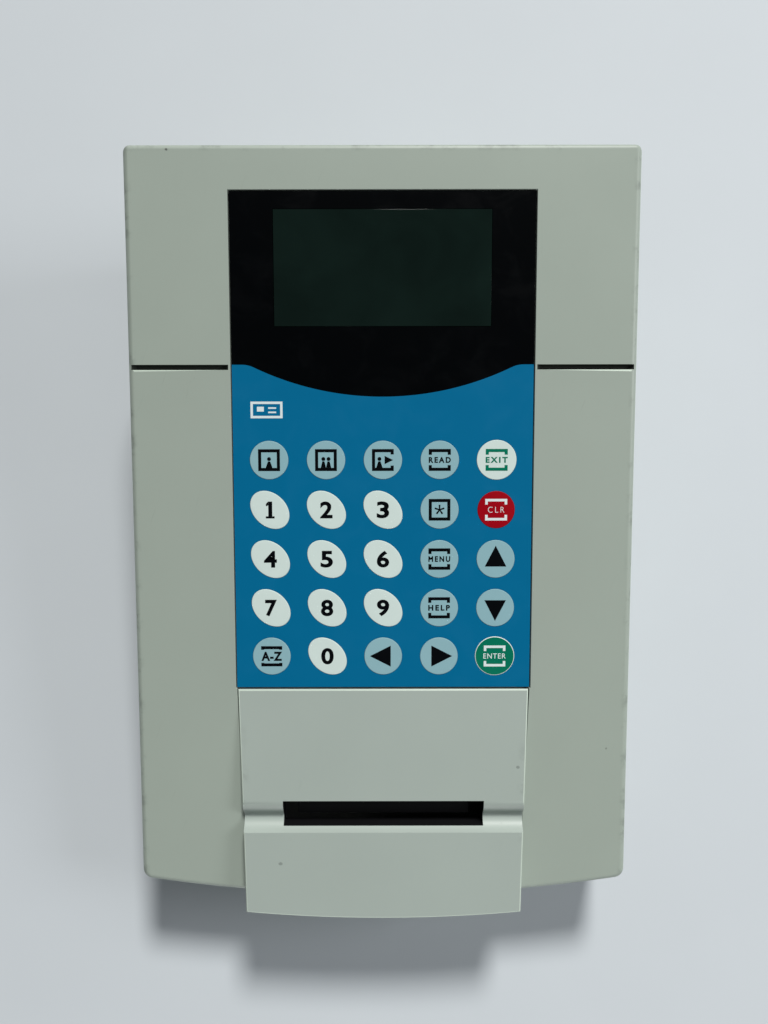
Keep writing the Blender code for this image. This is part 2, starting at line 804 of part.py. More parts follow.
def make_chassis():
    """A folded channel whose side plates carry the shafts."""
    low = -chassis_floor
    inner = chassis_inner
    outer = chassis_half
    high = chassis_top_rear
    section = [
        (-outer, high), (-outer, low), (outer, low), (outer, high),
        (inner, high), (inner, low + chassis_wall), (-inner, low + chassis_wall), (-inner, high),
    ]
    mesh = outline_solid(section, -chassis_end, -chassis_start)
    stand_up = Matrix(((1, 0, 0, 0), (0, 0, -1, 0), (0, 1, 0, 0), (0, 0, 0, 1)))
    bmesh.ops.transform(mesh, matrix=stand_up, verts=mesh.verts)
    chassis = new_piece("reader_chassis", mesh, zinc_plate, reader_frame)

    above = chassis_top_rear + wall
    trim = bar_across([
        (chassis_start - wall, chassis_top_front - wall / 2), (chassis_start, chassis_top_front),
        (chassis_shoulder, chassis_top_rear), (chassis_shoulder, above), (chassis_start - wall, above),
    ], -width / 2, width / 2)
    cut(chassis, "chassis_slope", trim, reader_frame)

    bores = bmesh.new()
    for along, height, diameter in (
            (roller_place, drive_height, drive_shaft_diameter),
            (roller_place, pressure_height, pressure_axle_diameter),
            (shutter_place, shutter_height, shutter_trunnion_diameter),
            (head_pin_place, head_pin_height, head_pin_diameter),
            (motor_place, -motor_depth, motor_shaft_diameter + 2 * gap)):
        start = (-width / 4, along, height)
        add_cylinder(bores, start, width / 2, diameter + 2 * gap, axis='X', segments=16)
    cut(chassis, "shaft_bores", bores, reader_frame)


def ring_profile(outer, inner, half_width):
    return [(outer, half_width), (outer, -half_width), (inner, -half_width), (inner, half_width)]


def make_transport():
    shaft = drive_shaft_diameter / 2
    pulley = drive_pulley_diameter / 2
    left = -chassis_half - 2 * gap
    profile = [
        (0, pulley_end + 2 * gap), (shaft, pulley_end + 2 * gap), (shaft, pulley_end), (pulley, pulley_end),
        (pulley, pulley_start), (shaft, pulley_start), (shaft, left), (0, left),
    ]
    place = (0, roller_place, drive_height)
    turned_piece("drive_shaft", profile, steel, reader_frame, place, across=True)
    ring = ring_profile(drive_roller_diameter / 2, shaft + gap, roller_width / 2)
    turned_piece("drive_roller", ring, rubber_black, reader_frame, place, closed=True, across=True)

    axle = pressure_axle_diameter / 2
    place = (0, roller_place, pressure_height)
    end = chassis_half + 2 * gap
    profile = [(0, end), (axle, end), (axle, -end), (0, -end)]
    turned_piece("pressure_axle", profile, steel, reader_frame, place, across=True, steps=12)
    ring = ring_profile(pressure_roller_diameter / 2, axle + gap, roller_width / 2)
    turned_piece("pressure_roller", ring, rubber_black, reader_frame, place, closed=True, across=True)


def make_motor():
    place = (0, motor_place, -motor_depth)
    shaft = motor_shaft_diameter / 2
    face = chassis_inner - gap
    bore = face - motor_bore_depth
    casing = motor_diameter / 2
    profile = [
        (0, bore), (shaft + gap, bore), (shaft + gap, face), (casing, face), (casing, face - motor_length),
        (0, face - motor_length),
    ]
    turned_piece("drive_motor", profile, zinc_plate, reader_frame, place, across=True)

    pulley = motor_pulley_diameter / 2
    tip = pulley_end + 2 * gap
    inner_end = bore + gap
    profile = [
        (0, tip), (shaft, tip), (shaft, pulley_end), (pulley, pulley_end), (pulley, pulley_start),
        (shaft, pulley_start), (shaft, inner_end), (0, inner_end),
    ]
    turned_piece("motor_pulley", profile, black_plastic, reader_frame, place, across=True)


def belt_loop(first, first_radius, second, second_radius, steps=10):
    """Points round two pulleys: an arc on each, joined by the straight runs between them."""
    line = second - first
    heading = math.atan2(line.y, line.x)
    lean = math.asin((first_radius - second_radius) / line.length)
    points = []
    for centre, radius, start, sweep in (
            (second, second_radius, heading - math.pi / 2 + lean, math.pi - 2 * lean),
            (first, first_radius, heading + math.pi / 2 - lean, math.pi + 2 * lean)):
        for step in range(steps + 1):
            angle = start + sweep * step / steps
            points.append(centre + radius * Vector((math.cos(angle), math.sin(angle))))
    return points


def make_belt():
    spread = gap + belt_thickness / 2
    loop = belt_loop(
        Vector((roller_place, drive_height)), drive_pulley_diameter / 2 + spread,
        Vector((motor_place, -motor_depth)), motor_pulley_diameter / 2 + spread)
    left = (pulley_start + pulley_end - belt_width) / 2
    mesh = bmesh.new()
    edges = []
    knots = [mesh.verts.new((left, point.x, point.y)) for point in loop]
    for first, second in zip(knots, knots[1:] + knots[:1]):
        edges.append(mesh.edges.new((first, second)))
    band = bmesh.ops.extrude_edge_only(mesh, edges=edges)["geom"]
    moved = [item for item in band if isinstance(item, bmesh.types.BMVert)]
    bmesh.ops.translate(mesh, verts=moved, vec=(belt_width, 0, 0))
    belt = new_piece("drive_belt", mesh, rubber_black, reader_frame)
    thick = belt.modifiers.new("thickness", 'SOLIDIFY')
    thick.thickness = belt_thickness
    thick.offset = 0


def make_shutter():
    end = chassis_half + gap
    trunnion = cylinder(
        (-end, 0, 0), 2 * end, shutter_trunnion_diameter, axis='X', segments=12)
    shutter = new_piece(
        "card_shutter", trunnion, black_plastic, reader_frame, (0, shutter_place, shutter_height))
    half = card_width / 2 + card_slack - 2 * gap
    reach = shutter_height + card_half_gap - shutter_floor_gap
    thick = shutter_thickness / 2
    flap = box((-half, -thick, -reach), (half, thick, 0))
    bmesh.ops.translate(flap, verts=flap.verts, vec=(0, shutter_place, shutter_height))
    join(shutter, "shutter_flap", flap, reader_frame)


def make_head():
    floor = roller_gap + gap
    low = (head_across - head_width / 2, head_place - head_length / 2, floor)
    high = (head_across + head_width / 2, head_place + head_length / 2, floor + head_height)
    block = box(low, high)
    block.normal_update()
    nose = [edge for edge in block.edges
            if all(vertex.co.z < floor + 1e-6 for vertex in edge.verts)
            and abs(edge.verts[0].co.x - edge.verts[1].co.x) > 1e-6]
    soften(block, nose, head_length / 3, 3)
    pivot = Vector((0, head_pin_place, head_pin_height))
    bmesh.ops.translate(block, verts=block.verts, vec=-pivot)
    new_piece("magnetic_head", block, steel, reader_frame, pivot)

    hub = cylinder(
        (low[0], 0, 0), head_width, head_hub_diameter, axis='X', segments=16)
    arm = new_piece("head_arm", hub, zinc_plate, reader_frame, pivot)
    top = high[2] + gap
    plate = box((low[0], low[1], top), (high[0], head_pin_place, top + head_arm_thickness))
    join(arm, "arm_plate", plate, reader_frame)
    bore = cylinder(
        (low[0] - wall, head_pin_place, head_pin_height), head_width + 2 * wall, head_pin_diameter + 2 * gap,
        axis='X', segments=16)
    cut(arm, "arm_bore", bore, reader_frame)

    end = chassis_half + 2 * gap
    radius = head_pin_diameter / 2
    profile = [(0, end), (radius, end), (radius, -end), (0, -end)]
    turned_piece("head_pin", profile, steel, reader_frame, pivot, across=True, steps=12)


# ------------------------------------------------------------------ main board and rear sockets
def make_main_board():
    half = main_board_width / 2
    rear = rear_y - wall - main_board_rear_gap
    low = (-half, main_board_front, main_board_height)
    board = new_piece("main_board", box(low, (half, rear, main_board_height + board_thickness)), circuit_green)
    chips = bmesh.new()
    top = main_board_height + board_thickness
    for x, y, size_x, size_y, size_z in (
            (-0.020, 0.054, 0.024, 0.024, 0.0035), (0.022, 0.084, 0.036, 0.015, 0.0045),
            (-0.050, 0.024, 0.014, 0.010, 0.0080), (0.052, 0.026, 0.020, 0.008, 0.0040),
            (-0.048, 0.102, 0.022, 0.012, 0.0140)):
        middle = main_board_front + y
        low = (x - size_x / 2, middle - size_y / 2, top - board_thickness / 2)
        add_box(chips, low, (x + size_x / 2, middle + size_y / 2, top + size_z))
    join(board, "components", chips)


def make_sockets():
    rear = rear_y - socket_recess
    for name, x, size in socket_bodies():
        low = (x - size[0] / 2, rear - size[1], socket_floor)
        new_piece(name, box(low, (x + size[0] / 2, rear, socket_floor + size[2])), black_plastic)
    power = bpy.data.objects["power_socket"]
    middle = socket_floor + power_socket_size[2] / 2
    depth_in = power_socket_size[1] - wall
    bore = cylinder(
        (power_socket_place, rear - depth_in, middle), 2 * depth_in, power_socket_bore, axis='Y', segments=16)
    cut(power, "power_bore", bore)
    for name, x, port, size in (
            ("serial_socket", serial_socket_place, serial_port_size, serial_socket_size),
            ("network_socket", network_socket_place, network_port_size, network_socket_size)):
        middle = socket_floor + size[2] / 2
        low = (x - port[0] / 2, rear - port[1], middle - port[2] / 2)
        high = (x + port[0] / 2, rear + wall, middle + port[2] / 2)
        cut(bpy.data.objects[name], name + "_port", box(low, high))


# ------------------------------------------------------------------ feet and screws
def make_feet():
    places = [(side * foot_across, y) for y in (front_y + foot_front_inset, rear_y - foot_rear_inset)
              for side in (-1, 1)]
    height = foot_height - gap
    for number, (x, y) in enumerate(places, start=1):
        foot = cylinder((0, 0, 0), height, foot_diameter - height, segments=20, end_diameter=foot_diameter)
        new_piece(f"foot_{number}", foot, rubber_black, place=(x, y, 0))


def make_screws():
    head = screw_head_diameter / 2
    shank = screw_shank_diameter / 2
    shoulder = counterbore_height - gap
    profile = [
        (0, shoulder + screw_length), (shank, shoulder + screw_length - shank), (shank, shoulder),
        (head, shoulder), (head, shoulder - screw_head_height), (0, shoulder - screw_head_height),
    ]
    for number, (x, y) in enumerate(boss_places(), start=1):
        turned_piece(f"case_screw_{number}", profile, steel, place=(x, y, 0), steps=12)


make_top_housing()
make_base()
make_reader_cover()
make_overlay()
make_keys()
make_keypad_circuit()
make_keypad_ribbon()
make_display()
make_card_guide()
make_chassis()
make_transport()
make_motor()
make_belt()
make_shutter()
make_head()
make_main_board()
make_sockets()
make_feet()
make_screws()
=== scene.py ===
"""Front-desk key-card encoder: the finished surfaces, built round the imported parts.

Lengths are in metres and +Z is up.  Most pieces are modelled in the sloping face's own frame, FACE: x across,
y up the slope from the rear edge, z out of the face.  The reader's pieces use that frame too.
"""
import json
import math

import bmesh
import bpy
from mathutils import Matrix, Vector

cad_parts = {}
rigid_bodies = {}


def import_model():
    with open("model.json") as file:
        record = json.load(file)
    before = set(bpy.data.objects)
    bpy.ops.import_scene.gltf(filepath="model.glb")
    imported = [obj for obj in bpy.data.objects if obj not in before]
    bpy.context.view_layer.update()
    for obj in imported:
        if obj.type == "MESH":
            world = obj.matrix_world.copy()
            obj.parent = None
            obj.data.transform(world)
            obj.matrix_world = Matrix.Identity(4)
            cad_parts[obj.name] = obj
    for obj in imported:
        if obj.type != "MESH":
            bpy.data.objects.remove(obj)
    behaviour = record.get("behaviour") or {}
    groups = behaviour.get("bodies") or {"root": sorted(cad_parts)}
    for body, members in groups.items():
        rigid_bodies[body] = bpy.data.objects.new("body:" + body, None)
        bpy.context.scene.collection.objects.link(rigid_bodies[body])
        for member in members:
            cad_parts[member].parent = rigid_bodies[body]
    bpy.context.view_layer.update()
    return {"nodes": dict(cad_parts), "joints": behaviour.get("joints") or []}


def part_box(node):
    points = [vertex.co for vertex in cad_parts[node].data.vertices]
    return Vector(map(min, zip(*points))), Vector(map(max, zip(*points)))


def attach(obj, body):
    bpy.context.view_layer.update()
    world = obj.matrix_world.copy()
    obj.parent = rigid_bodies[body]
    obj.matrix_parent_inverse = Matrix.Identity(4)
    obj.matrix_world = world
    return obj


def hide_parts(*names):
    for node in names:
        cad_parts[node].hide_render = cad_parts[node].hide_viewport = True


bl_info = {
    "name": "Key Card Encoder",
    "version": (1, 0, 0),
    "blender": (4, 5, 0),
    "location": "View3D > Sidebar > Encoder",
    "description": "Detailed housing, keypad, display and card reader for a front-desk key-card encoder",
    "category": "Object",
}

for leftover in list(bpy.data.objects):
    bpy.data.objects.remove(leftover, do_unlink=True)
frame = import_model()
NODES = frame["nodes"]
WELD = 1e-7
TOUCH = 1e-6
NEAR = 1e-5
DEEP = 0.2
SMOOTH_ANGLE = math.radians(32.0)
# How much paler the painted edge highlight is than the housing plastic
EDGE_HIGHLIGHT_TONE = 1.55
SHARP = 0.5
SCREW_HEAD = 0.0060
SCREW_HEAD_HEIGHT = 0.0021
THREAD_PITCH = 0.0006
CONTACT_DEPTH = 0.0085
JOINTS = {joint["name"]: joint for joint in frame["joints"]}


# ------------------------------------------------------------------ the face's frame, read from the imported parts
def face_frame():
    """The sloping face: its origin at the middle of the rear edge, x across, y up the slope, z outwards."""
    normal = -Vector(JOINTS["key_0_press"]["axis"]).normalized()
    level = max(vertex.co.dot(normal) for vertex in NODES["top_housing"].data.vertices)
    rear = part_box("top_housing")[1].y
    height = (level - rear * normal.y) / normal.z
    slope = math.atan2(-normal.y, normal.z)
    return Matrix.Translation((0, rear, height)) @ Matrix.Rotation(slope, 4, 'X'), slope


FACE, SLOPE = face_frame()
TO_FACE = FACE.inverted()


def face_box(node):
    """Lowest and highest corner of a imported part, measured in the face's frame."""
    points = [TO_FACE @ vertex.co for vertex in NODES[node].data.vertices]
    low = Vector([min(point[axis] for point in points) for axis in range(3)])
    high = Vector([max(point[axis] for point in points) for axis in range(3)])
    return low, high


FILM_LOW, FILM_HIGH = face_box("graphic_overlay")
WINDOW_LOW, WINDOW_HIGH = face_box("display_window")
COVER_LOW, COVER_HIGH = face_box("reader_cover")
HOUSING_LOW, HOUSING_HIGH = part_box("top_housing")
BASE_LOW, BASE_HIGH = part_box("base")

KEY_NAMES = (
    ("key_single_guest", "key_double_guest", "key_check_out", "key_read", "key_exit"),
    ("key_1", "key_2", "key_3", "key_star", "key_clear"),
    ("key_4", "key_5", "key_6", "key_menu", "key_up"),
    ("key_7", "key_8", "key_9", "key_help", "key_down"),
    ("key_letters", "key_0", "key_left", "key_right", "key_enter"),
)
ALL_KEYS = [name for row in KEY_NAMES for name in row]


# ------------------------------------------------------------------ sizes and finishes a user may change
def length(name, default, description):
    return bpy.props.FloatProperty(
        name=name, description=description, default=default, min=0.0, precision=5,
        subtype='DISTANCE', unit='LENGTH')


def amount(name, default, description, low=0.0, high=1.0):
    return bpy.props.FloatProperty(name=name, description=description, default=default, min=low, max=high)


def colour(name, default, description):
    return bpy.props.FloatVectorProperty(
        name=name, description=description, default=default, size=3, min=0.0, max=1.0, subtype='COLOR')


class EncoderHousingSizes(bpy.types.PropertyGroup):
    face_length: length("Face Length", 0.2873, "Length of the sloping face along its middle")
    front_radius: length("Front Radius", 0.600, "Radius of the housing's bowed front edge")
    wall: length("Wall", 0.0025, "Thickness of the moulded walls")
    rear_corner: length("Rear Corner Radius", 0.0026, "Radius of the upright corners at the rear")
    front_corner: length("Front Corner Radius", 0.0034, "Radius of the upright corners at the front")
    rim_radius: length("Rim Radius", 0.0024, "Radius round the edge of the face")
    pocket_margin: length("Pocket Margin", 0.00045, "Gap round the printed film in its pocket")
    pocket_depth: length("Pocket Depth", 0.0026, "Depth of the pocket for the film and its switches")
    lip_radius: length("Lip Radius", 0.00022, "Small radius on the edges of the openings")
    seam: length("Seam", 0.0003, "Gap between neighbouring mouldings")
    groove_start: length("Groove Start", 0.0798, "Distance of the side grooves from the rear edge")
    groove_width: length("Groove Width", 0.0019, "Width of the side grooves on the face")
    groove_depth: length("Groove Depth", 0.0020, "Depth of the side grooves")
    groove_slant: length("Groove Slant", 0.0004, "How far the groove's upper wall slants inwards")
    groove_inner: length("Groove Inner End", 0.0575, "Distance of the groove's inner end from the middle")
    groove_outer: length("Groove Outer End", 0.0938, "Distance of the groove's outer end from the middle")
    groove_lip: length("Groove Lip", 0.0007, "Radius on the wing's edge along the groove")
    screw_post: length("Screw Post", 0.0080, "Diameter of the posts that take the case screws")


class EncoderCoverSizes(bpy.types.PropertyGroup):
    rise: length("Rise", 0.0084, "Height of the reader cover above the face at its front end")
    width_rear: length("Rear Width", 0.1120, "Width of the cover at its rear end")
    width_front: length("Front Width", 0.1054, "Width of the cover at its front end")
    edge_radius: length("Edge Radius", 0.00055, "Radius round the cover's top")
    scoop_start: length("Scoop Start", 0.2461, "Where the finger scoop rolls in, from the rear edge")
    scoop_corner: length("Scoop Corner", 0.2532, "The scoop's deepest line, from the rear edge")
    scoop_end: length("Scoop End", 0.2583, "Where the scoop meets the cover's top again")
    scoop_depth: length("Scoop Depth", 0.0040, "Depth of the scoop")
    mouth_width: length("Mouth Width", 0.0774, "Width of the card mouth")
    mouth_start: length("Mouth Start", 0.2462, "Upper edge of the card mouth")
    mouth_end: length("Mouth End", 0.2568, "Sill of the card mouth")
    mouth_rib: length("Mouth Rib", 0.0065, "Depth of the rib behind the mouth")
    mouth_rib_margin: length("Mouth Rib Margin", 0.0038, "How far the rib stands out round the mouth")
    skirt: length("Skirt", 0.0100, "How deep the cover's side walls reach into the housing")


class EncoderKeypadSizes(bpy.types.PropertyGroup):
    ellipse_long: length("Digit Key Length", 0.0166, "Length of the slanting oval digit keys")
    ellipse_short: length("Digit Key Width", 0.0124, "Width of the slanting oval digit keys")
    ellipse_turn: bpy.props.FloatProperty(
        name="Digit Key Turn", description="Slant of the oval keys", default=math.radians(-43.0),
        subtype='ANGLE', unit='ROTATION')
    hairline: length("Hairline", 0.00006, "Gap between a key and the film round it")
    rim_radius: length("Key Rim Radius", 0.00022, "Radius of the embossed rim")
    print_height: length("Print Height", 0.00002, "How far the printed legends stand above a key")
    frame_size: length("Frame Size", 0.0082, "Outer size of the square legend frames")
    frame_line: length("Frame Line", 0.00118, "Line thickness of the legend frames")
    digit_height: length("Digit Height", 0.0064, "Height of the digits")
    word_height: length("Word Height", 0.0022, "Height of the short words")
    zone_dip: length("Zone Dip", 0.09165, "Lowest point of the black display zone, from the rear edge")
    zone_shoulder: length("Zone Shoulder", 0.0798, "Edge of the black zone at the film's sides")
    zone_radius: length("Zone Radius", 0.112, "Radius of the black zone's lower edge")
    zone_blend: length("Zone Blend", 0.010, "Radius where that edge turns level at the sides")


class EncoderFinishes(bpy.types.PropertyGroup):
    housing: colour("Housing", (0.350, 0.405, 0.352), "Light grey moulded plastic with a green tinge")
    cover: colour("Cover", (0.372, 0.430, 0.392), "Slightly paler plastic of the reader cover")
    base: colour("Base", (0.17, 0.185, 0.175), "Darker moulded plastic of the base tray")
    blue: colour("Film Blue", (0.0, 0.138, 0.290), "Printed blue of the keypad film")
    black: colour("Film Black", (0.0004, 0.0008, 0.0012), "Printed black round the display")
    key_grey: colour("Grey Keys", (0.268, 0.455, 0.500), "Pale blue-grey keys")
    key_white: colour("White Keys", (0.64, 0.75, 0.71), "White keys")
    key_red: colour("Red Key", (0.33, 0.0, 0.006), "Red clear key")
    key_green: colour("Green Key", (0.0, 0.165, 0.095), "Green enter key and green print")
    ink: colour("Ink", (0.0008, 0.0014, 0.0024), "Dark legends")
    pale_ink: colour("Pale Ink", (0.72, 0.80, 0.80), "Pale legends")
    window: colour("Window", (0.0040, 0.0100, 0.0080), "Unlit display behind its smoked window")
    wear: amount("Wear", 1.4, "Scuffs, specks and grime on the mouldings")


class EncoderStage(bpy.types.PropertyGroup):
    lens: bpy.props.FloatProperty(
        name="Lens", description="Focal length of the camera", default=27.07, min=1.0, unit='CAMERA')
    camera_across: bpy.props.FloatProperty(
        name="Camera Across", description="Camera place across the face", default=0.0004, unit='LENGTH')
    camera_along: bpy.props.FloatProperty(
        name="Camera Along", description="Camera place along the face", default=-0.1102, unit='LENGTH')
    camera_height: length("Camera Height", 0.2900, "Height of the camera above the face")
    camera_tilt: bpy.props.FloatProperty(
        name="Camera Tilt", description="Tilt of the view away from square on", default=math.radians(4.86),
        subtype='ANGLE', unit='ROTATION')
    camera_roll: bpy.props.FloatProperty(
        name="Camera Roll", description="Roll of the view", default=math.radians(-0.08),
        subtype='ANGLE', unit='ROTATION')
    key_power: bpy.props.FloatProperty(
        name="Key Light", description="Power of the large light over the rear edge", default=670.0, unit='POWER')
    fill_power: bpy.props.FloatProperty(
        name="Fill Light", description="Power of the soft light on the right", default=4.5, unit='POWER')
    front_power: bpy.props.FloatProperty(
        name="Front Light", description="Power of the low light that draws the front edges", default=2.0,
        unit='POWER')
    room: amount("Room Light", 0.13, "Brightness of the room", 0.0, 5.0)
    floor: colour("Floor", (0.56, 0.60, 0.63), "Pale plain floor")


# ------------------------------------------------------------------ mesh helpers
def blank(mesh, place=None):
    if place is not None:
        bmesh.ops.transform(mesh, matrix=place, verts=mesh.verts)
    return mesh


def add_block(mesh, low, high):
    low, high = Vector(low), Vector(high)
    place = Matrix.Translation((low + high) / 2) @ Matrix.Diagonal((*(high - low), 1.0))
    return bmesh.ops.create_cube(mesh, size=1.0, matrix=place)["verts"]


def block(low, high):
    mesh = bmesh.new()
    add_block(mesh, low, high)
    return mesh


def add_rod(mesh, start, length_, diameter, axis='Z', segments=32, end_diameter=None):
    """A rod or cone that runs from its start point along +axis."""
    turn = {'X': Matrix.Rotation(math.pi / 2, 4, 'Y'), 'Y': Matrix.Rotation(-math.pi / 2, 4, 'X'), 'Z': Matrix()}
    place = Matrix.Translation(start) @ turn[axis] @ Matrix.Translation((0, 0, length_ / 2))
    end = diameter if end_diameter is None else end_diameter
    made = bmesh.ops.create_cone(
        mesh, cap_ends=True, segments=segments, radius1=diameter / 2, radius2=end / 2, depth=length_, matrix=place)
    return made["verts"]


def swing(mesh, start, centre, angle, steps):
    """Carry a point round a centre in the plane, leaving an arc of edges, and return the arc's last point."""
    made = bmesh.ops.spin(
        mesh, geom=[start], cent=(centre[0], centre[1], 0), axis=(0, 0, 1), angle=angle, steps=steps,
        use_merge=False, use_duplicate=False)
    return [item for item in made["geom_last"] if isinstance(item, bmesh.types.BMVert)][0]


def line_to(mesh, start, place):
    """Draw a straight edge from a point and return its far end."""
    end = mesh.verts.new((place[0], place[1], 0))
    mesh.edges.new((start, end))
    return end


def polyline(mesh, points, closed=False):
    """Edges from point to point."""
    knots = [mesh.verts.new(point) for point in points]
    for first, second in zip(knots, knots[1:] + knots[:1] if closed else knots[1:]):
        mesh.edges.new((first, second))
    return knots


def face_up(mesh):
    """Turn every flat face to +z."""
    for face in mesh.faces:
        if face.normal.z < 0:
            face.normal_flip()


def close_face(mesh):
    bmesh.ops.remove_doubles(mesh, verts=mesh.verts, dist=WELD)
    bmesh.ops.edgeloop_fill(mesh, edges=mesh.edges)
    face_up(mesh)


def extrude(mesh, shift):
    """Give the mesh's faces a thickness along a vector."""
    made = bmesh.ops.extrude_face_region(mesh, geom=mesh.faces[:])
    fresh = [item for item in made["geom"] if isinstance(item, bmesh.types.BMVert)]
    bmesh.ops.translate(mesh, verts=fresh, vec=shift)
    bmesh.ops.recalc_face_normals(mesh, faces=mesh.faces)


def raise_faces(mesh, low, high):
    """Give flat faces a thickness between two heights."""
    bmesh.ops.translate(mesh, verts=mesh.verts, vec=(0, 0, high))
    extrude(mesh, (0, 0, low - high))


def whole(mesh):
    return mesh.verts[:] + mesh.edges[:] + mesh.faces[:]


def drop_side(mesh, point, normal):
    """Cut the mesh flat, drop what lies on the normal's side and close the cut."""
    bmesh.ops.bisect_plane(
        mesh, geom=whole(mesh), dist=WELD, plane_co=point, plane_no=normal, clear_outer=True)
    rim = [edge for edge in mesh.edges if edge.is_boundary]
    bmesh.ops.holes_fill(mesh, edges=rim, sides=0)


def drop_world_side(mesh, point, normal):
    """drop_side with the plane given above the desk."""
    drop_side(mesh, TO_FACE @ Vector(point), TO_FACE.to_3x3() @ Vector(normal))


def soften(mesh, edges, radius, segments, clamp=True):
    bmesh.ops.bevel(
        mesh, geom=edges, offset=radius, offset_type='OFFSET', segments=segments, profile=0.5,
        affect='EDGES', clamp_overlap=clamp, material=-1)


def profile_bar(points, left, right):
    """A profile of distances down the face and heights over it, run across from left to right."""
    mesh = bmesh.new()
    polyline(mesh, [(left, -down, height) for down, height in points], closed=True)
    bmesh.ops.edgeloop_fill(mesh, edges=mesh.edges)
    extrude(mesh, (right - left, 0, 0))
    return mesh


def as_piece(mesh, name, *materials):
    """Put a bmesh into a new object of the scene."""
    data = bpy.data.meshes.new(name)
    mesh.to_mesh(data)
    mesh.free()
    for material in materials:
        data.materials.append(material)
    piece = bpy.data.objects.new(name, data)
    bpy.context.scene.collection.objects.link(piece)
    return piece


def settle(piece):
    """Apply the piece's modifiers."""
    graph = bpy.context.evaluated_depsgraph_get()
    data = bpy.data.meshes.new_from_object(
        piece.evaluated_get(graph), preserve_all_data_layers=True, depsgraph=graph)
    piece.modifiers.clear()
    old = piece.data
    piece.data = data
    bpy.data.meshes.remove(old)
    data.name = piece.name


def work_with(piece, mesh, operation, *materials):
    """Cut a shape from a piece or add one to it."""
    guide = as_piece(mesh, "guide", *materials)
    tool = piece.modifiers.new("shape", 'BOOLEAN')
    tool.operation = operation
    tool.solver = 'EXACT'
    tool.object = guide
    if materials:
        tool.material_mode = 'TRANSFER'
    settle(piece)
    bpy.data.objects.remove(guide)


def cut(piece, mesh, *materials):
    work_with(piece, mesh, 'DIFFERENCE', *materials)


def add(piece, mesh, *materials):
    work_with(piece, mesh, 'UNION', *materials)


def soften_where(piece, wanted, radius, segments=2, least=0.6):
    """Round the sharp edges whose two ends both satisfy a test."""
    mesh = bmesh.new()
    mesh.from_mesh(piece.data)
    bmesh.ops.dissolve_degenerate(mesh, dist=WELD, edges=mesh.edges)
    chosen = [
        edge for edge in mesh.edges
        if len(edge.link_faces) == 2 and edge.calc_face_angle(0) > least
        and all(wanted(vertex.co) for vertex in edge.verts)]
    soften(mesh, chosen, radius, segments, clamp=False)
    mesh.to_mesh(piece.data)
    mesh.free()


def finish_piece(piece, body, stands_for=(), place=None):
    """Set the piece in its place, give it clean normals and hang it on its body."""
    data = piece.data
    if place is not None:
        data.transform(place)
    data.shade_smooth()
    data.set_sharp_from_angle(angle=SMOOTH_ANGLE)
    weigh_normals = piece.modifiers.new("normals", 'WEIGHTED_NORMAL')
    weigh_normals.keep_sharp = True
    weigh_normals.weight = 50
    settle(piece)
    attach(piece, body)
    if stands_for:
        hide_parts(*stands_for)
    return piece


def merged_copy(node):
    """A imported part's shape, its loose triangles merged and its flat faces joined, in the row's frame."""
    mesh = bmesh.new()
    mesh.from_mesh(NODES[node].data)
    bmesh.ops.remove_doubles(mesh, verts=mesh.verts, dist=TOUCH)
    bmesh.ops.dissolve_limit(mesh, angle_limit=0.002, verts=mesh.verts, edges=mesh.edges)
    return mesh


# ------------------------------------------------------------------ node helpers and shared effects
def new_group(name, inputs, outputs):
    group = bpy.data.node_groups.new(name, 'ShaderNodeTree')
    for label, kind, default in inputs:
        socket = group.interface.new_socket(name=label, in_out='INPUT', socket_type=kind)
        if default is not None:
            socket.default_value = default
    for label, kind in outputs:
        group.interface.new_socket(name=label, in_out='OUTPUT', socket_type=kind)
    enter = group.nodes.new('NodeGroupInput')
    leave = group.nodes.new('NodeGroupOutput')
    return group, enter, leave


def node(tree, kind, inputs=None, **settings):
    """A new node with its settings, and its inputs as values or as links from other sockets."""
    made = tree.nodes.new(kind)
    for name, value in settings.items():
        setattr(made, name, value)
    for name, value in (inputs or {}).items():
        if isinstance(value, bpy.types.NodeSocket):
            tree.links.new(value, made.inputs[name])
        else:
            made.inputs[name].default_value = value
    return made


def maths(tree, operation, first, second=0.0, clamp=False):
    made = node(tree, 'ShaderNodeMath', {0: first, 1: second}, operation=operation, use_clamp=clamp)
    return made.outputs[0]


def band(tree, value, low, high):
    """0 below low and 1 above high, with a smooth step between them."""
    made = node(
        tree, 'ShaderNodeMapRange', {"Value": value, "From Min": low, "From Max": high},
        interpolation_type='SMOOTHSTEP')
    return made.outputs["Result"]


def blend_colour(tree, factor, first, second):
    made = node(tree, 'ShaderNodeMix', {0: factor, 6: first, 7: second}, data_type='RGBA', blend_type='MIX')
    return made.outputs[2]


def noise(tree, coordinates, scale, detail=2.0, roughness=0.5, distortion=0.0):
    made = node(tree, 'ShaderNodeTexNoise', {
        "Vector": coordinates, "Scale": scale, "Detail": detail, "Roughness": roughness, "Distortion": distortion})
    return made.outputs["Fac"]


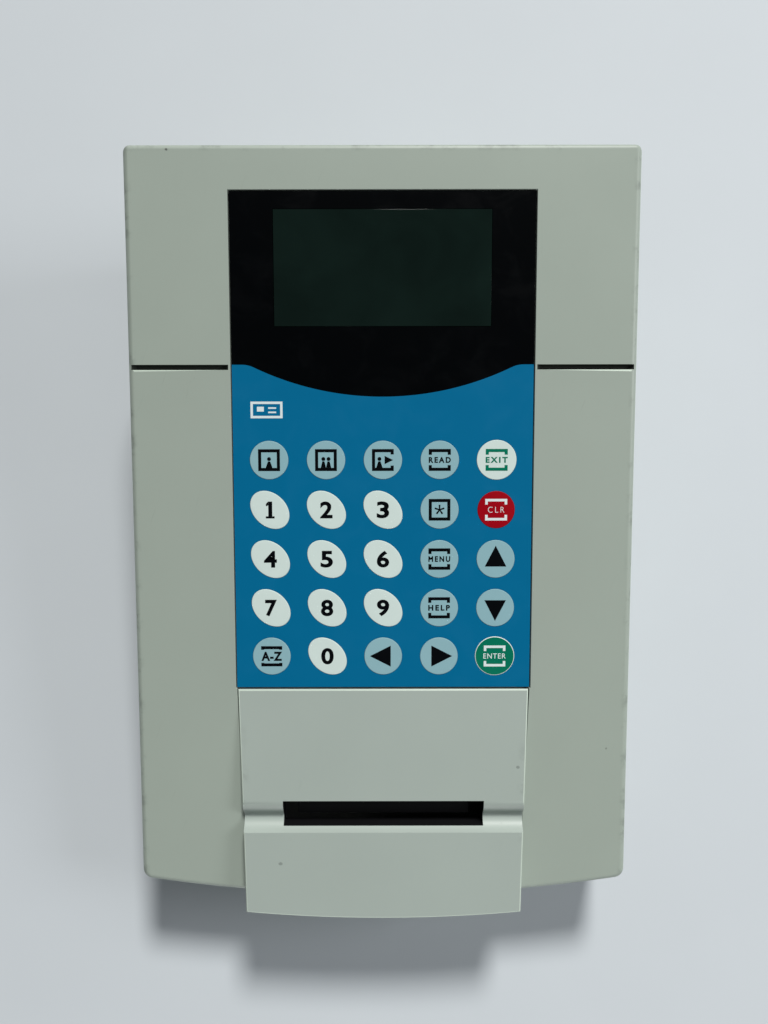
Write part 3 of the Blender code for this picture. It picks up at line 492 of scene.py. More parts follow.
def make_moulded_grain():
    """Fine spark-eroded texture of a moulding and its uneven gloss."""
    group, enter, leave = new_group(
        "Moulded Grain",
        [("Coordinates", 'NodeSocketVector', None), ("Grain", 'NodeSocketFloat', 1600.0),
         ("Gloss", 'NodeSocketFloat', 0.5), ("Spread", 'NodeSocketFloat', 0.08)],
        [("Height", 'NodeSocketFloat'), ("Roughness", 'NodeSocketFloat'), ("Tone", 'NodeSocketFloat')])
    where = enter.outputs["Coordinates"]
    fine = noise(group, where, enter.outputs["Grain"], 3.0, 0.6)
    orange_peel = noise(group, where, 60.0, 2.0)
    height = maths(group, 'ADD', maths(group, 'MULTIPLY', fine, 0.8), maths(group, 'MULTIPLY', orange_peel, 0.35))
    group.links.new(height, leave.inputs["Height"])
    clouds = noise(group, where, 22.0, 4.0, 0.55)
    centred = maths(group, 'SUBTRACT', clouds, 0.5)
    rough = maths(group, 'ADD', enter.outputs["Gloss"], maths(group, 'MULTIPLY', centred, enter.outputs["Spread"]))
    group.links.new(rough, leave.inputs["Roughness"])
    group.links.new(clouds, leave.inputs["Tone"])
    return group


def make_specks():
    """Sparse dark specks and short nicks left by handling."""
    group, enter, leave = new_group(
        "Specks",
        [("Coordinates", 'NodeSocketVector', None), ("Spacing", 'NodeSocketFloat', 55.0),
         ("Size", 'NodeSocketFloat', 0.035), ("Share", 'NodeSocketFloat', 0.72)],
        [("Mask", 'NodeSocketFloat')])
    wobble = node(group, 'ShaderNodeTexNoise', {
        "Vector": enter.outputs["Coordinates"], "Scale": 240.0, "Detail": 2.0})
    offset = node(group, 'ShaderNodeVectorMath', {0: wobble.outputs["Color"], "Scale": 0.0016}, operation='SCALE')
    where = node(group, 'ShaderNodeVectorMath', {0: enter.outputs["Coordinates"], 1: offset.outputs[0]})
    cells = node(group, 'ShaderNodeTexVoronoi', {
        "Vector": where.outputs[0], "Scale": enter.outputs["Spacing"], "Randomness": 1.0})
    near = maths(group, 'LESS_THAN', cells.outputs["Distance"], enter.outputs["Size"])
    hue = node(group, 'ShaderNodeSeparateColor', {"Color": cells.outputs["Color"]})
    some = maths(group, 'GREATER_THAN', hue.outputs[0], enter.outputs["Share"])
    depth = maths(group, 'MULTIPLY', maths(group, 'MULTIPLY', near, some), hue.outputs[1])
    group.links.new(depth, leave.inputs["Mask"])
    return group


def make_scuffs():
    """Long thin rub marks, turned by the coordinates that are fed in."""
    group, enter, leave = new_group(
        "Scuffs",
        [("Coordinates", 'NodeSocketVector', None), ("Scale", 'NodeSocketFloat', 30.0),
         ("Amount", 'NodeSocketFloat', 0.5)],
        [("Mask", 'NodeSocketFloat')])
    turned = node(group, 'ShaderNodeMapping', {
        "Vector": enter.outputs["Coordinates"], "Rotation": (0.0, 0.0, 0.35)})
    stretch = node(
        group, 'ShaderNodeVectorMath', {0: turned.outputs[0], 1: (1.0, 0.06, 1.0)}, operation='MULTIPLY')
    streaks = noise(group, stretch.outputs[0], maths(group, 'MULTIPLY', enter.outputs["Scale"], 30.0), 3.0, 0.65)
    patches = noise(group, enter.outputs["Coordinates"], enter.outputs["Scale"], 2.0)
    lines = band(group, streaks, 0.62, 0.72)
    areas = band(group, patches, 0.52, 0.68)
    mask = maths(group, 'MULTIPLY', maths(group, 'MULTIPLY', lines, areas), enter.outputs["Amount"])
    group.links.new(mask, leave.inputs["Mask"])
    return group


def make_rim_wear():
    """Rubbed, slightly dirty band near the outer edges of a form that is centred on its coordinates."""
    group, enter, leave = new_group(
        "Rim Wear",
        [("Coordinates", 'NodeSocketVector', None), ("Half Width", 'NodeSocketFloat', 0.095),
         ("Half Length", 'NodeSocketFloat', 0.143), ("Reach", 'NodeSocketFloat', 0.004)],
        [("Mask", 'NodeSocketFloat')])
    axes = node(group, 'ShaderNodeSeparateXYZ', {0: enter.outputs["Coordinates"]})
    across = maths(group, 'SUBTRACT', enter.outputs["Half Width"], maths(group, 'ABSOLUTE', axes.outputs[0]))
    along = maths(group, 'SUBTRACT', enter.outputs["Half Length"], maths(group, 'ABSOLUTE', axes.outputs[1]))
    plan = maths(group, 'MINIMUM', across, along)
    nearest = maths(group, 'SQRT', maths(group, 'ADD', maths(group, 'POWER', plan, 2.0),
                    maths(group, 'POWER', axes.outputs[2], 2.0)))
    fade = maths(group, 'SUBTRACT', 1.0, maths(group, 'DIVIDE', nearest, enter.outputs["Reach"]), clamp=True)
    patches = noise(group, enter.outputs["Coordinates"], 130.0, 5.0, 0.7)
    mask = maths(group, 'MULTIPLY', fade, band(group, patches, 0.50, 0.66))
    group.links.new(mask, leave.inputs["Mask"])
    return group


def make_film_sheen():
    """Fine texture of printed polyester film with faint finger marks."""
    group, enter, leave = new_group(
        "Film Sheen",
        [("Coordinates", 'NodeSocketVector', None), ("Gloss", 'NodeSocketFloat', 0.38)],
        [("Height", 'NodeSocketFloat'), ("Roughness", 'NodeSocketFloat'), ("Tone", 'NodeSocketFloat')])
    where = enter.outputs["Coordinates"]
    grain = noise(group, where, 3800.0, 2.0, 0.6)
    ripple = noise(group, where, 120.0, 2.0)
    height = maths(group, 'ADD', maths(group, 'MULTIPLY', grain, 0.5), maths(group, 'MULTIPLY', ripple, 0.7))
    group.links.new(height, leave.inputs["Height"])
    marks = noise(group, where, 70.0, 4.0, 0.6, 0.6)
    smeared = maths(group, 'MULTIPLY', band(group, marks, 0.45, 0.7), 0.12)
    rough = maths(group, 'ADD', enter.outputs["Gloss"], smeared)
    group.links.new(rough, leave.inputs["Roughness"])
    group.links.new(marks, leave.inputs["Tone"])
    return group


def effect(name):
    """A shared node group, built the first time it is asked for."""
    makers = {
        "Moulded Grain": make_moulded_grain, "Specks": make_specks, "Scuffs": make_scuffs,
        "Rim Wear": make_rim_wear, "Film Sheen": make_film_sheen,
    }
    return bpy.data.node_groups.get(name) or makers[name]()


def place_effect(tree, name, inputs):
    return node(tree, 'ShaderNodeGroup', inputs, node_tree=effect(name))


def new_material(name):
    """A material with a Principled shader, and its piece's own coordinates."""
    material = bpy.data.materials.get(name)
    if material:
        return material, None, None, None
    material = bpy.data.materials.new(name)
    material.use_nodes = True
    tree = material.node_tree
    shader = tree.nodes["Principled BSDF"]
    where = tree.nodes.new('ShaderNodeTexCoord').outputs["Object"]
    return material, tree, shader, where


def face_coordinates(tree, where, centre=(0.0, 0.0, 0.0)):
    """The row's coordinates turned into the face's frame and centred on a place in it."""
    spot = FACE @ Vector(centre)
    moved = node(tree, 'ShaderNodeVectorMath', {0: where, 1: spot}, operation='SUBTRACT')
    turned = node(tree, 'ShaderNodeMapping', {"Vector": moved.outputs[0], "Rotation": (-SLOPE, 0.0, 0.0)})
    return turned.outputs[0]


def bump(tree, shader, height, distance, strength=1.0):
    made = node(tree, 'ShaderNodeBump', {"Height": height, "Distance": distance, "Strength": strength})
    tree.links.new(made.outputs["Normal"], shader.inputs["Normal"])


def shade(base, factor):
    return (*(channel * factor for channel in base), 1.0)


def moulding_material(name, base, gloss, wear, half_width=0.095, half_length=0.143, centre=(0.0, -0.143, 0.0)):
    """Moulded plastic with its grain, slight unevenness, rubbed rims, specks and scuffs."""
    material, tree, shader, where = new_material(name)
    if tree is None:
        return material
    local = face_coordinates(tree, where, centre)
    grain = place_effect(tree, "Moulded Grain", {"Coordinates": where, "Gloss": gloss})
    rim = place_effect(tree, "Rim Wear", {
        "Coordinates": local, "Half Width": half_width, "Half Length": half_length, "Reach": 0.0035})
    specks = place_effect(tree, "Specks", {"Coordinates": local})
    scuffs = place_effect(tree, "Scuffs", {"Coordinates": local, "Amount": 0.16 * wear})
    tone = blend_colour(tree, grain.outputs["Tone"], shade(base, 0.955), shade(base, 1.04))
    worn = maths(tree, 'MULTIPLY', rim.outputs["Mask"], 0.5 * wear)
    rubbed = blend_colour(tree, worn, tone, shade(base, 0.42))
    scuffed = blend_colour(tree, scuffs.outputs["Mask"], rubbed, shade(base, 0.55))
    speckled = blend_colour(
        tree, maths(tree, 'MULTIPLY', specks.outputs["Mask"], 0.75 * wear), scuffed, shade(base, 0.18))
    tree.links.new(speckled, shader.inputs["Base Color"])
    rough = maths(tree, 'ADD', grain.outputs["Roughness"], maths(tree, 'MULTIPLY', scuffs.outputs["Mask"], 0.4))
    tree.links.new(rough, shader.inputs["Roughness"])
    bump(tree, shader, grain.outputs["Height"], 0.00003, 0.55)
    return material


def film_material(name, base, gloss=0.36, mirror=0.15, variation=0.05):
    material, tree, shader, where = new_material(name)
    if tree is None:
        return material
    sheen = place_effect(tree, "Film Sheen", {"Coordinates": where, "Gloss": gloss})
    tone = blend_colour(tree, sheen.outputs["Tone"], shade(base, 1.0 - variation), shade(base, 1.0 + variation))
    tree.links.new(tone, shader.inputs["Base Color"])
    tree.links.new(sheen.outputs["Roughness"], shader.inputs["Roughness"])
    shader.inputs["Specular IOR Level"].default_value = mirror
    bump(tree, shader, sheen.outputs["Height"], 0.000008, 0.5)
    return material


def plain_material(
        name, base, roughness, metallic=0.0, grain=900.0, depth=0.00002, brushed=False, spread=0.12, mirror=0.5):
    """Metal, rubber, board and plastic of the inner parts, with grain and uneven gloss."""
    material, tree, shader, where = new_material(name)
    if tree is None:
        return material
    if brushed:
        drawn = node(tree, 'ShaderNodeVectorMath', {0: where, 1: (0.08, 1.0, 1.0)}, operation='MULTIPLY')
        where = drawn.outputs[0]
    surface = place_effect(tree, "Moulded Grain", {
        "Coordinates": where, "Grain": grain, "Gloss": roughness, "Spread": spread})
    tone = blend_colour(tree, surface.outputs["Tone"], shade(base, 0.88), shade(base, 1.10))
    tree.links.new(tone, shader.inputs["Base Color"])
    tree.links.new(surface.outputs["Roughness"], shader.inputs["Roughness"])
    shader.inputs["Metallic"].default_value = metallic
    shader.inputs["Specular IOR Level"].default_value = mirror
    bump(tree, shader, surface.outputs["Height"], depth, 0.6)
    return material


def housing_plastic():
    finish = bpy.context.scene.encoder_finishes
    return moulding_material("moulded_grey", finish.housing, 0.46, finish.wear)


def cover_plastic():
    finish = bpy.context.scene.encoder_finishes
    return moulding_material(
        "moulded_grey_cover", finish.cover, 0.46, finish.wear * 0.5, 0.0545, 0.043, (0.0, -0.247, 0.004))


def edge_highlight_plastic():
    """Paler copy of the housing plastic, a painted highlight on rounded edges, with lighter wear marks."""
    finish = bpy.context.scene.encoder_finishes
    base = [channel * EDGE_HIGHLIGHT_TONE for channel in finish.housing]
    return moulding_material("moulded_painted_highlight", base, 0.40, finish.wear * 0.3)


def black_plastic():
    return plain_material("moulded_black", (0.006, 0.006, 0.007), 0.5, mirror=0.2)


def zinc_steel():
    return plain_material("zinc_plated_steel", (0.52, 0.53, 0.50), 0.36, 1.0, 400.0)


def green_board():
    return plain_material("solder_mask", (0.008, 0.085, 0.040), 0.38, 0.0, 300.0)


def ink_material(name, base):
    return film_material(name, base, 0.45, 0.08, 0.03)


# ------------------------------------------------------------------ housing and base
def unit_outline(inset, steps):
    """Plan of the face: straight rear edge and sides, and one long bowed edge at the front."""
    sizes = bpy.context.scene.encoder_housing
    half = HOUSING_HIGH.x - inset
    centre = sizes.front_radius - sizes.face_length
    radius = sizes.front_radius - inset
    reach = math.asin(half / radius)
    mesh = bmesh.new()
    start = mesh.verts.new((-half, centre - radius * math.cos(reach), 0))
    corner = swing(mesh, start, (0, centre), 2 * reach, steps)
    rear_right = line_to(mesh, corner, (half, -inset))
    rear_left = line_to(mesh, rear_right, (-half, -inset))
    mesh.edges.new((rear_left, start))
    close_face(mesh)
    return mesh


def wedge(inset, low, high=None):
    """The unit's outer form drawn in by an inset, cut flat at one or two heights above the desk."""
    mesh = unit_outline(inset, 32)
    raise_faces(mesh, -DEEP, -inset)
    drop_world_side(mesh, (0, HOUSING_HIGH.y - inset, 0), (0, 1, 0))
    drop_world_side(mesh, (0, 0, low), (0, 0, -1))
    if high is not None:
        drop_world_side(mesh, (0, 0, high), (0, 0, 1))
    bmesh.ops.recalc_face_normals(mesh, faces=mesh.faces)
    return mesh


def upright_corners(mesh, rear):
    chosen = []
    for edge in mesh.edges:
        if len(edge.link_faces) != 2 or edge.calc_face_angle(0) < 1.0:
            continue
        across = edge.verts[0].co - edge.verts[1].co
        flat = all(abs(face.normal.z) < SHARP for face in edge.link_faces)
        behind = (edge.verts[0].co.y > -0.1) == rear
        if flat and behind and abs(across.x) < TOUCH and abs(edge.verts[0].co.x) > HOUSING_HIGH.x - 0.001:
            chosen.append(edge)
    return chosen


def top_rim(mesh):
    """The edges round the topmost flat face."""
    top = max(vertex.co.z for vertex in mesh.verts)
    return [edge for edge in mesh.edges
            if all(vertex.co.z > top - TOUCH for vertex in edge.verts) and edge.calc_face_angle(0) > SHARP]


def seam_height():
    """Height above the desk of the middle of the seam between housing and base."""
    return (HOUSING_LOW.z + BASE_HIGH.z) / 2


def screw_places():
    """Place of each case screw, with the height of its head's lower face."""
    for number in range(1, 5):
        low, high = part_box(f"case_screw_{number}")
        yield number, (low.x + high.x) / 2, (low.y + high.y) / 2, low.z, high.z


def face_height(y):
    """Height of the face above the desk at a place along the unit."""
    return (FACE @ Vector((0, 0, 0))).z - (HOUSING_HIGH.y - y) * math.tan(SLOPE)


def film_block(margin, top, bottom):
    low = (FILM_LOW.x - margin, FILM_LOW.y - margin, -bottom)
    return block(low, (FILM_HIGH.x + margin, FILM_HIGH.y + margin, -top))


def window_block(margin, top, bottom):
    low = (WINDOW_LOW.x - margin, WINDOW_LOW.y - margin, -bottom)
    return block(low, (WINDOW_HIGH.x + margin, WINDOW_HIGH.y + margin, -top))


def in_face_frame(mesh):
    return blank(mesh, TO_FACE)


class ENCODER_OT_housing(bpy.types.Operator):
    """Model the wedge-shaped top housing with its rim, film pocket, side grooves and openings"""
    bl_idname = "encoder.housing"
    bl_label = "Top Housing"

    def execute(self, context):
        sizes = context.scene.encoder_housing
        grey = housing_plastic()
        # Dark plastic for the side grooves' walls: painted shade in the grooves.
        groove_shade = plain_material("groove_painted_shade", (0.030, 0.034, 0.029), 0.8, grain=500.0, mirror=0.1)
        shell = wedge(0, HOUSING_LOW.z)
        for rear, radius in ((True, sizes.rear_corner), (False, sizes.front_corner)):
            soften(shell, upright_corners(shell, rear), radius, 5)
        shell.normal_update()
        soften(shell, top_rim(shell), sizes.rim_radius, 5)
        # Fillet faces round the front and sides take the paler plastic: a painted highlight on the rim.
        for face in shell.faces:
            if 0.3 < face.normal.z < 0.6 and face.normal.y < SHARP:
                face.material_index = 2
        housing = as_piece(shell, "top_housing_shell", grey, groove_shade, edge_highlight_plastic())
        cut(housing, wedge(sizes.wall, seam_height() - sizes.wall))
        tray = sizes.pocket_depth + sizes.wall
        add(housing, film_block(sizes.wall, sizes.wall / 2, tray))
        posts = bmesh.new()
        for _, x, y, _, _ in screw_places():
            top = face_height(y) - sizes.wall / 2
            add_rod(posts, (x, y, HOUSING_LOW.z), top - HOUSING_LOW.z, sizes.screw_post, segments=24)
        add(housing, in_face_frame(posts))
        cut(housing, film_block(sizes.pocket_margin, -sizes.wall, sizes.pocket_depth))
        cut(housing, window_block(-0.0018, 0, 2 * tray))
        cut(housing, block((0.0294, -0.1018, -2 * tray), (0.0466, -0.0985, 0)))
        cut(housing, cover_form(-sizes.seam, 0.016, 0))
        rear = COVER_HIGH.y
        low_corner = (-FILM_HIGH.x, rear - 0.0002, -sizes.pocket_depth)
        cut(housing, block(low_corner, (FILM_HIGH.x, FILM_LOW.y, sizes.wall)))
        for side in (-1, 1):
            cut(housing, self.groove(sizes, side), groove_shade)
        # Groove faces turned to the rear go back to grey; the others keep the painted shade.
        for face in housing.data.polygons:
            if face.material_index == 1 and face.normal.y > SHARP:
                face.material_index = 0
        holes = bmesh.new()
        for _, x, y, _, top in screw_places():
            add_rod(holes, (x, y, HOUSING_LOW.z - 0.001), top + 0.0006 - HOUSING_LOW.z, 0.0034, segments=24)
        for name in ("power_socket", "serial_socket", "network_socket"):
            low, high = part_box(name)
            add_block(holes, (low.x - 0.0003, high.y - 0.006, low.z - 0.0003),
                      (high.x + 0.0003, high.y + 0.004, high.z + 0.0003))
        cut(housing, in_face_frame(holes))

        start, end = -sizes.groove_start, -sizes.groove_start - sizes.groove_width
        inner = sizes.groove_inner - 0.0005
        soften_where(
            housing, lambda point: abs(point.z) < NEAR and abs(point.y - end) < NEAR and abs(point.x) > inner,
            sizes.groove_lip, 3)
        # The rounded lip below each groove takes the paler plastic: a painted highlight.
        for face in housing.data.polygons:
            if abs(face.center.x) > sizes.groove_inner and end - sizes.groove_lip < face.center.y < end and (
                    0.1 < face.normal.z < 0.99):
                face.material_index = 2
        soften_where(
            housing, lambda point: abs(point.z) < NEAR and (
                abs(point.y - start) > NEAR or abs(point.x) < inner) and not end - NEAR < point.y < start + NEAR,
            sizes.lip_radius, 2)
        finish_piece(housing, "housing", ["top_housing"], FACE)
        return {'FINISHED'}

    @staticmethod
    def groove(sizes, side):
        """A shallow groove whose upper wall and ends slant inwards."""
        start, end, depth = sizes.groove_start, sizes.groove_start + sizes.groove_width, sizes.groove_depth
        reach = 0.003
        ends = sorted((side * (sizes.groove_inner - reach), side * (sizes.groove_outer + reach)))
        lift = 0.002
        mesh = profile_bar([
            (start, lift), (start, 0), (start + sizes.groove_slant, -depth), (end, -depth), (end, lift)], *ends)
        drop_side(mesh, (side * sizes.groove_inner, 0, 0), (-side, 0, -0.8))
        drop_side(mesh, (side * sizes.groove_outer, 0, 0), (side, 0, -0.8))
        bmesh.ops.recalc_face_normals(mesh, faces=mesh.faces)
        return mesh


class ENCODER_OT_base(bpy.types.Operator):
    """Model the base tray with its posts, screw wells and rounded lower edge"""
    bl_idname = "encoder.base"
    bl_label = "Base Tray"

    def execute(self, context):
        sizes = context.scene.encoder_housing
        finish = context.scene.encoder_finishes
        grey = moulding_material("moulded_base", finish.base, 0.5, finish.wear * 0.6)
        mesh = merged_copy("base")
        tray = as_piece(mesh, "base_tray", grey)
        low, border = BASE_LOW, 0.0035
        half, rear = HOUSING_HIGH.x, HOUSING_HIGH.y

        def outer(point):
            near = abs(point.x) > half - border or point.y > rear - border or point.y < low.y + 10 * border
            return near and point.z < low.z + NEAR

        soften_where(tray, outer, 0.0006, 3)
        finish_piece(tray, "housing", ["base"])
        return {'FINISHED'}


# ------------------------------------------------------------------ reader cover
def cover_top(down):
    """Height of the reader cover's top above the face, at a distance down the face."""
    sizes = bpy.context.scene.encoder_cover
    start = -COVER_HIGH.y
    end = -COVER_LOW.y
    return (down - start) * sizes.rise / (end - start)


def cover_form(inset, top, rear_inset, steps=48):
    """The tongue's form drawn in by an inset, up to the cover's slanting top moved by a height."""
    sizes = bpy.context.scene.encoder_cover
    bow = bpy.context.scene.encoder_housing.front_radius
    start, end = -COVER_HIGH.y, -COVER_LOW.y
    taper = (sizes.width_rear - sizes.width_front) / 2
    rear_half = sizes.width_rear / 2 - inset
    front_half = sizes.width_front / 2 - inset
    radius = bow - inset
    centre = bow - end
    reach = math.asin(front_half / radius)
    mesh = bmesh.new()
    first = mesh.verts.new((-front_half, centre - radius * math.cos(reach), 0))
    corner = swing(mesh, first, (0, centre), 2 * reach, steps)
    half = rear_half + taper * rear_inset / (end - start)
    right = line_to(mesh, corner, (half, -start - rear_inset))
    left = line_to(mesh, right, (-half, -start - rear_inset))
    mesh.edges.new((left, first))
    close_face(mesh)
    raise_faces(mesh, -DEEP, 0.024)
    pitch = math.atan2(sizes.rise, end - start)
    normal = Vector((0, math.sin(pitch), math.cos(pitch)))
    drop_side(mesh, Vector((0, -start, 0)) + normal * top, normal)
    bmesh.ops.recalc_face_normals(mesh, faces=mesh.faces)
    return mesh


def slanting_bar(start, end, top, bottom, half):
    """A bar across the cover between two distances down the face and two heights from its top."""
    return profile_bar([
        (start, cover_top(start) + bottom), (start, cover_top(start) + top),
        (end, cover_top(end) + top), (end, cover_top(end) + bottom)], -half, half)


class ENCODER_OT_reader_cover(bpy.types.Operator):
    """Model the tongue over the card reader, with its rolled finger scoop, card mouth and sill"""
    bl_idname = "encoder.reader_cover"
    bl_label = "Reader Cover"

    def execute(self, context):
        sizes = context.scene.encoder_cover
        wall = context.scene.encoder_housing.wall
        grey, black = cover_plastic(), black_plastic()
        shell = cover_form(0, 0, 0)
        drop_world_side(shell, (0, 0, HOUSING_LOW.z), (0, 0, -1))
        shell.normal_update()
        pitch = math.atan2(sizes.rise, COVER_HIGH.y - COVER_LOW.y)
        slant = Vector((0, math.sin(pitch), math.cos(pitch)))
        rim = [edge for edge in shell.edges if edge.calc_face_angle(0) > SHARP
               and any(face.normal.dot(slant) > 0.999 for face in edge.link_faces)]
        soften(shell, rim, sizes.edge_radius, 3)
        # The cover's edge fillets take the paler plastic: a painted highlight.
        for face in shell.faces:
            if 0.3 < face.normal.dot(slant) < 0.98:
                face.material_index = 2
        cover = as_piece(shell, "reader_cover_shell", grey, black, edge_highlight_plastic())
        cut(cover, cover_form(wall, -wall, -wall, 24))

        rib_start = sizes.mouth_start - sizes.mouth_rib_margin
        rib_end = sizes.mouth_end + sizes.mouth_rib_margin
        inner_half = sizes.width_front / 2 - wall / 2
        add(cover, slanting_bar(rib_start, rib_end, -wall / 2, -wall - sizes.mouth_rib, inner_half))
        cut(cover, self.scoop(sizes))
        half = sizes.mouth_width / 2
        through = -2 * sizes.mouth_rib - wall
        # The mouth's cut walls in the grey cover take black plastic: painted shade inside the card mouth.
        cut(cover, slanting_bar(sizes.mouth_start, sizes.mouth_end, sizes.rise, through, half), black)
        relief = rib_start - wall
        cut(cover, slanting_bar(relief, sizes.mouth_start + 0.0003, -wall, through, half), black)
        skirt_end = -COVER_LOW.y - 3 * wall
        cut(cover, block((-DEEP / 2, -skirt_end, -DEEP), (DEEP / 2, wall, -sizes.skirt)))

        def on_sill(point):
            return abs(point.y + sizes.mouth_end) < NEAR and point.z > cover_top(-point.y) - 0.0035

        soften_where(cover, on_sill, 0.00025, 3)
        finish_piece(cover, "housing", ["reader_cover"], FACE)
        return {'FINISHED'}

    @staticmethod
    def scoop(sizes):
        """Rolls in from the cover's top, turns in a tight hollow and climbs back out ever more steeply."""
        start, corner, end = sizes.scoop_start, sizes.scoop_corner, sizes.scoop_end
        bends = [(start, 0.0), (corner - 0.0016, -52.0), (corner + 0.0007, 4.0), (end, 60.0)]
        steps = 48
        downs = [start + (end - start) * step / steps for step in range(steps + 1)]
        slopes = []
        for down in downs:
            for (first, low), (second, high) in zip(bends, bends[1:]):
                if down <= second + 1e-9:
                    share = (down - first) / (second - first)
                    slopes.append(math.tan(math.radians(low + (high - low) * share)))
                    break
        fall = [0.0]
        for first, second in zip(slopes, slopes[1:]):
            fall.append(fall[-1] + (first + second) / 2 * (end - start) / steps)
        deepest = min(fall)
        lowest = fall.index(deepest)
        points = []
        for step, down in enumerate(downs):
            depth = fall[step] * sizes.scoop_depth / -deepest
            if step > lowest:
                rise = (fall[step] - deepest) / (fall[-1] - deepest)
                depth = -sizes.scoop_depth * (1 - rise)
            points.append((down, cover_top(down) + depth))
        points += [(end, cover_top(end) + sizes.rise), (start, cover_top(start) + sizes.rise)]
        return profile_bar(points, -DEEP / 2, DEEP / 2)


# ------------------------------------------------------------------ overlay film
def film_zone(mesh, upper):
    """Draw the black or the blue zone of the film, which share one curved edge."""
    sizes = bpy.context.scene.encoder_keypad
    half = FILM_HIGH.x
    hub = -(sizes.zone_dip - sizes.zone_radius)
    shoulder = -sizes.zone_shoulder
    blend_y = shoulder - sizes.zone_blend
    reach = sizes.zone_radius + sizes.zone_blend
    blend_x = math.sqrt(reach * reach - (hub - blend_y) ** 2)
    turn = math.asin(blend_x / reach)
    start = mesh.verts.new((-half, shoulder, 0))
    knot = line_to(mesh, start, (-blend_x, shoulder))
    knot = swing(mesh, knot, (-blend_x, blend_y), -turn, 8)
    knot = swing(mesh, knot, (0, hub), 2 * turn, 48)
    knot = swing(mesh, knot, (blend_x, blend_y), -turn, 8)
    knot = line_to(mesh, knot, (half, shoulder))
    edge_y = FILM_HIGH.y if upper else FILM_LOW.y
    knot = line_to(mesh, knot, (half, edge_y))
    knot = line_to(mesh, knot, (-half, edge_y))
    mesh.edges.new((knot, start))


def key_outline(name):
    """Length, width and turn of a key's outline."""
    sizes = bpy.context.scene.encoder_keypad
    if name[-1].isdigit():
        return sizes.ellipse_long, sizes.ellipse_short, sizes.ellipse_turn
    low, high = face_box(name)
    return high.x - low.x, high.x - low.x, 0.0


def key_centre(name):
    low, high = face_box(name)
    return (low + high) / 2


def add_key_rod(mesh, name, margin, low, high, segments=64):
    long, short, turn = key_outline(name)
    centre = key_centre(name)
    place = (Matrix.Translation((centre.x, centre.y, (low + high) / 2)) @ Matrix.Rotation(turn, 4, 'Z')
             @ Matrix.Diagonal((long / 2 + margin, short / 2 + margin, 1, 1)))
    bmesh.ops.create_cone(
        mesh, cap_ends=True, segments=segments, radius1=1, radius2=1, depth=high - low, matrix=place)


def add_bar(mesh, left, low, right, high):
    """A flat rectangle."""
    place = Matrix.Translation(((left + right) / 2, (low + high) / 2, 0)) @ Matrix.Diagonal(
        (right - left, high - low, 1, 1))
    return bmesh.ops.create_grid(mesh, x_segments=1, y_segments=1, size=0.5, matrix=place)["verts"]


def add_taper(mesh, x, low, high, low_half, high_half):
    """A flat upright shape that narrows from low to high."""
    corners = add_bar(mesh, x - low_half, low, x + low_half, high)
    middle = (low + high) / 2
    for corner in corners:
        if corner.co.y > middle:
            corner.co.x = x + (high_half if corner.co.x > x else -high_half)


def add_dot(mesh, x, y, radius, segments=28):
    bmesh.ops.create_circle(
        mesh, cap_ends=True, segments=segments, radius=radius, matrix=Matrix.Translation((x, y, 0)))


def clean_flat(mesh):
    bmesh.ops.remove_doubles(mesh, verts=mesh.verts, dist=WELD)
    bmesh.ops.dissolve_degenerate(mesh, dist=WELD, edges=mesh.edges)
    face_up(mesh)


def lettering(words, width, height, weight=0.0, spacing=1.0):
    """Flat letters, fitted to a width and height about the middle."""
    curve = bpy.data.curves.new("lettering", 'FONT')
    curve.body = words
    curve.size = 0.01
    curve.offset = weight
    curve.space_character = spacing
    curve.resolution_u = 6
    item = bpy.data.objects.new("lettering", curve)
    bpy.context.scene.collection.objects.link(item)
    evaluated = item.evaluated_get(bpy.context.evaluated_depsgraph_get())
    data = bpy.data.meshes.new_from_object(evaluated)
    bpy.data.objects.remove(item)
    mesh = bmesh.new()
    mesh.from_mesh(data)
    low = Vector([min(vertex.co[axis] for vertex in mesh.verts) for axis in range(3)])
    high = Vector([max(vertex.co[axis] for vertex in mesh.verts) for axis in range(3)])
    stretch = Matrix.Diagonal((width / (high.x - low.x), height / (high.y - low.y), 1, 1))
    blank(mesh, stretch @ Matrix.Translation(-(low + high) / 2))
    bmesh.ops.dissolve_limit(mesh, angle_limit=0.001, verts=mesh.verts, edges=mesh.edges)
    face_up(mesh)
    return mesh


def pour(target, source, material_index, place=None):
    """Move one bmesh into another with a material."""
    if place is not None:
        blank(source, place)
    for face in source.faces:
        face.material_index = material_index
    data = bpy.data.meshes.new("pour")
    source.to_mesh(data)
    source.free()
    target.from_mesh(data)
    bpy.data.meshes.remove(data)


def pictogram():
    """A generic card: an outline with a small square and two short lines in it."""
    mesh = bmesh.new()
    add_frame(mesh, 0.0120, 0.0062, 0.0009)
    add_bar(mesh, -0.0036, -0.0006, -0.0010, 0.0012)
    add_bar(mesh, 0.0006, 0.0004, 0.0036, 0.0010)
    add_bar(mesh, 0.0006, -0.0012, 0.0036, -0.0006)
    clean_flat(mesh)
    return mesh


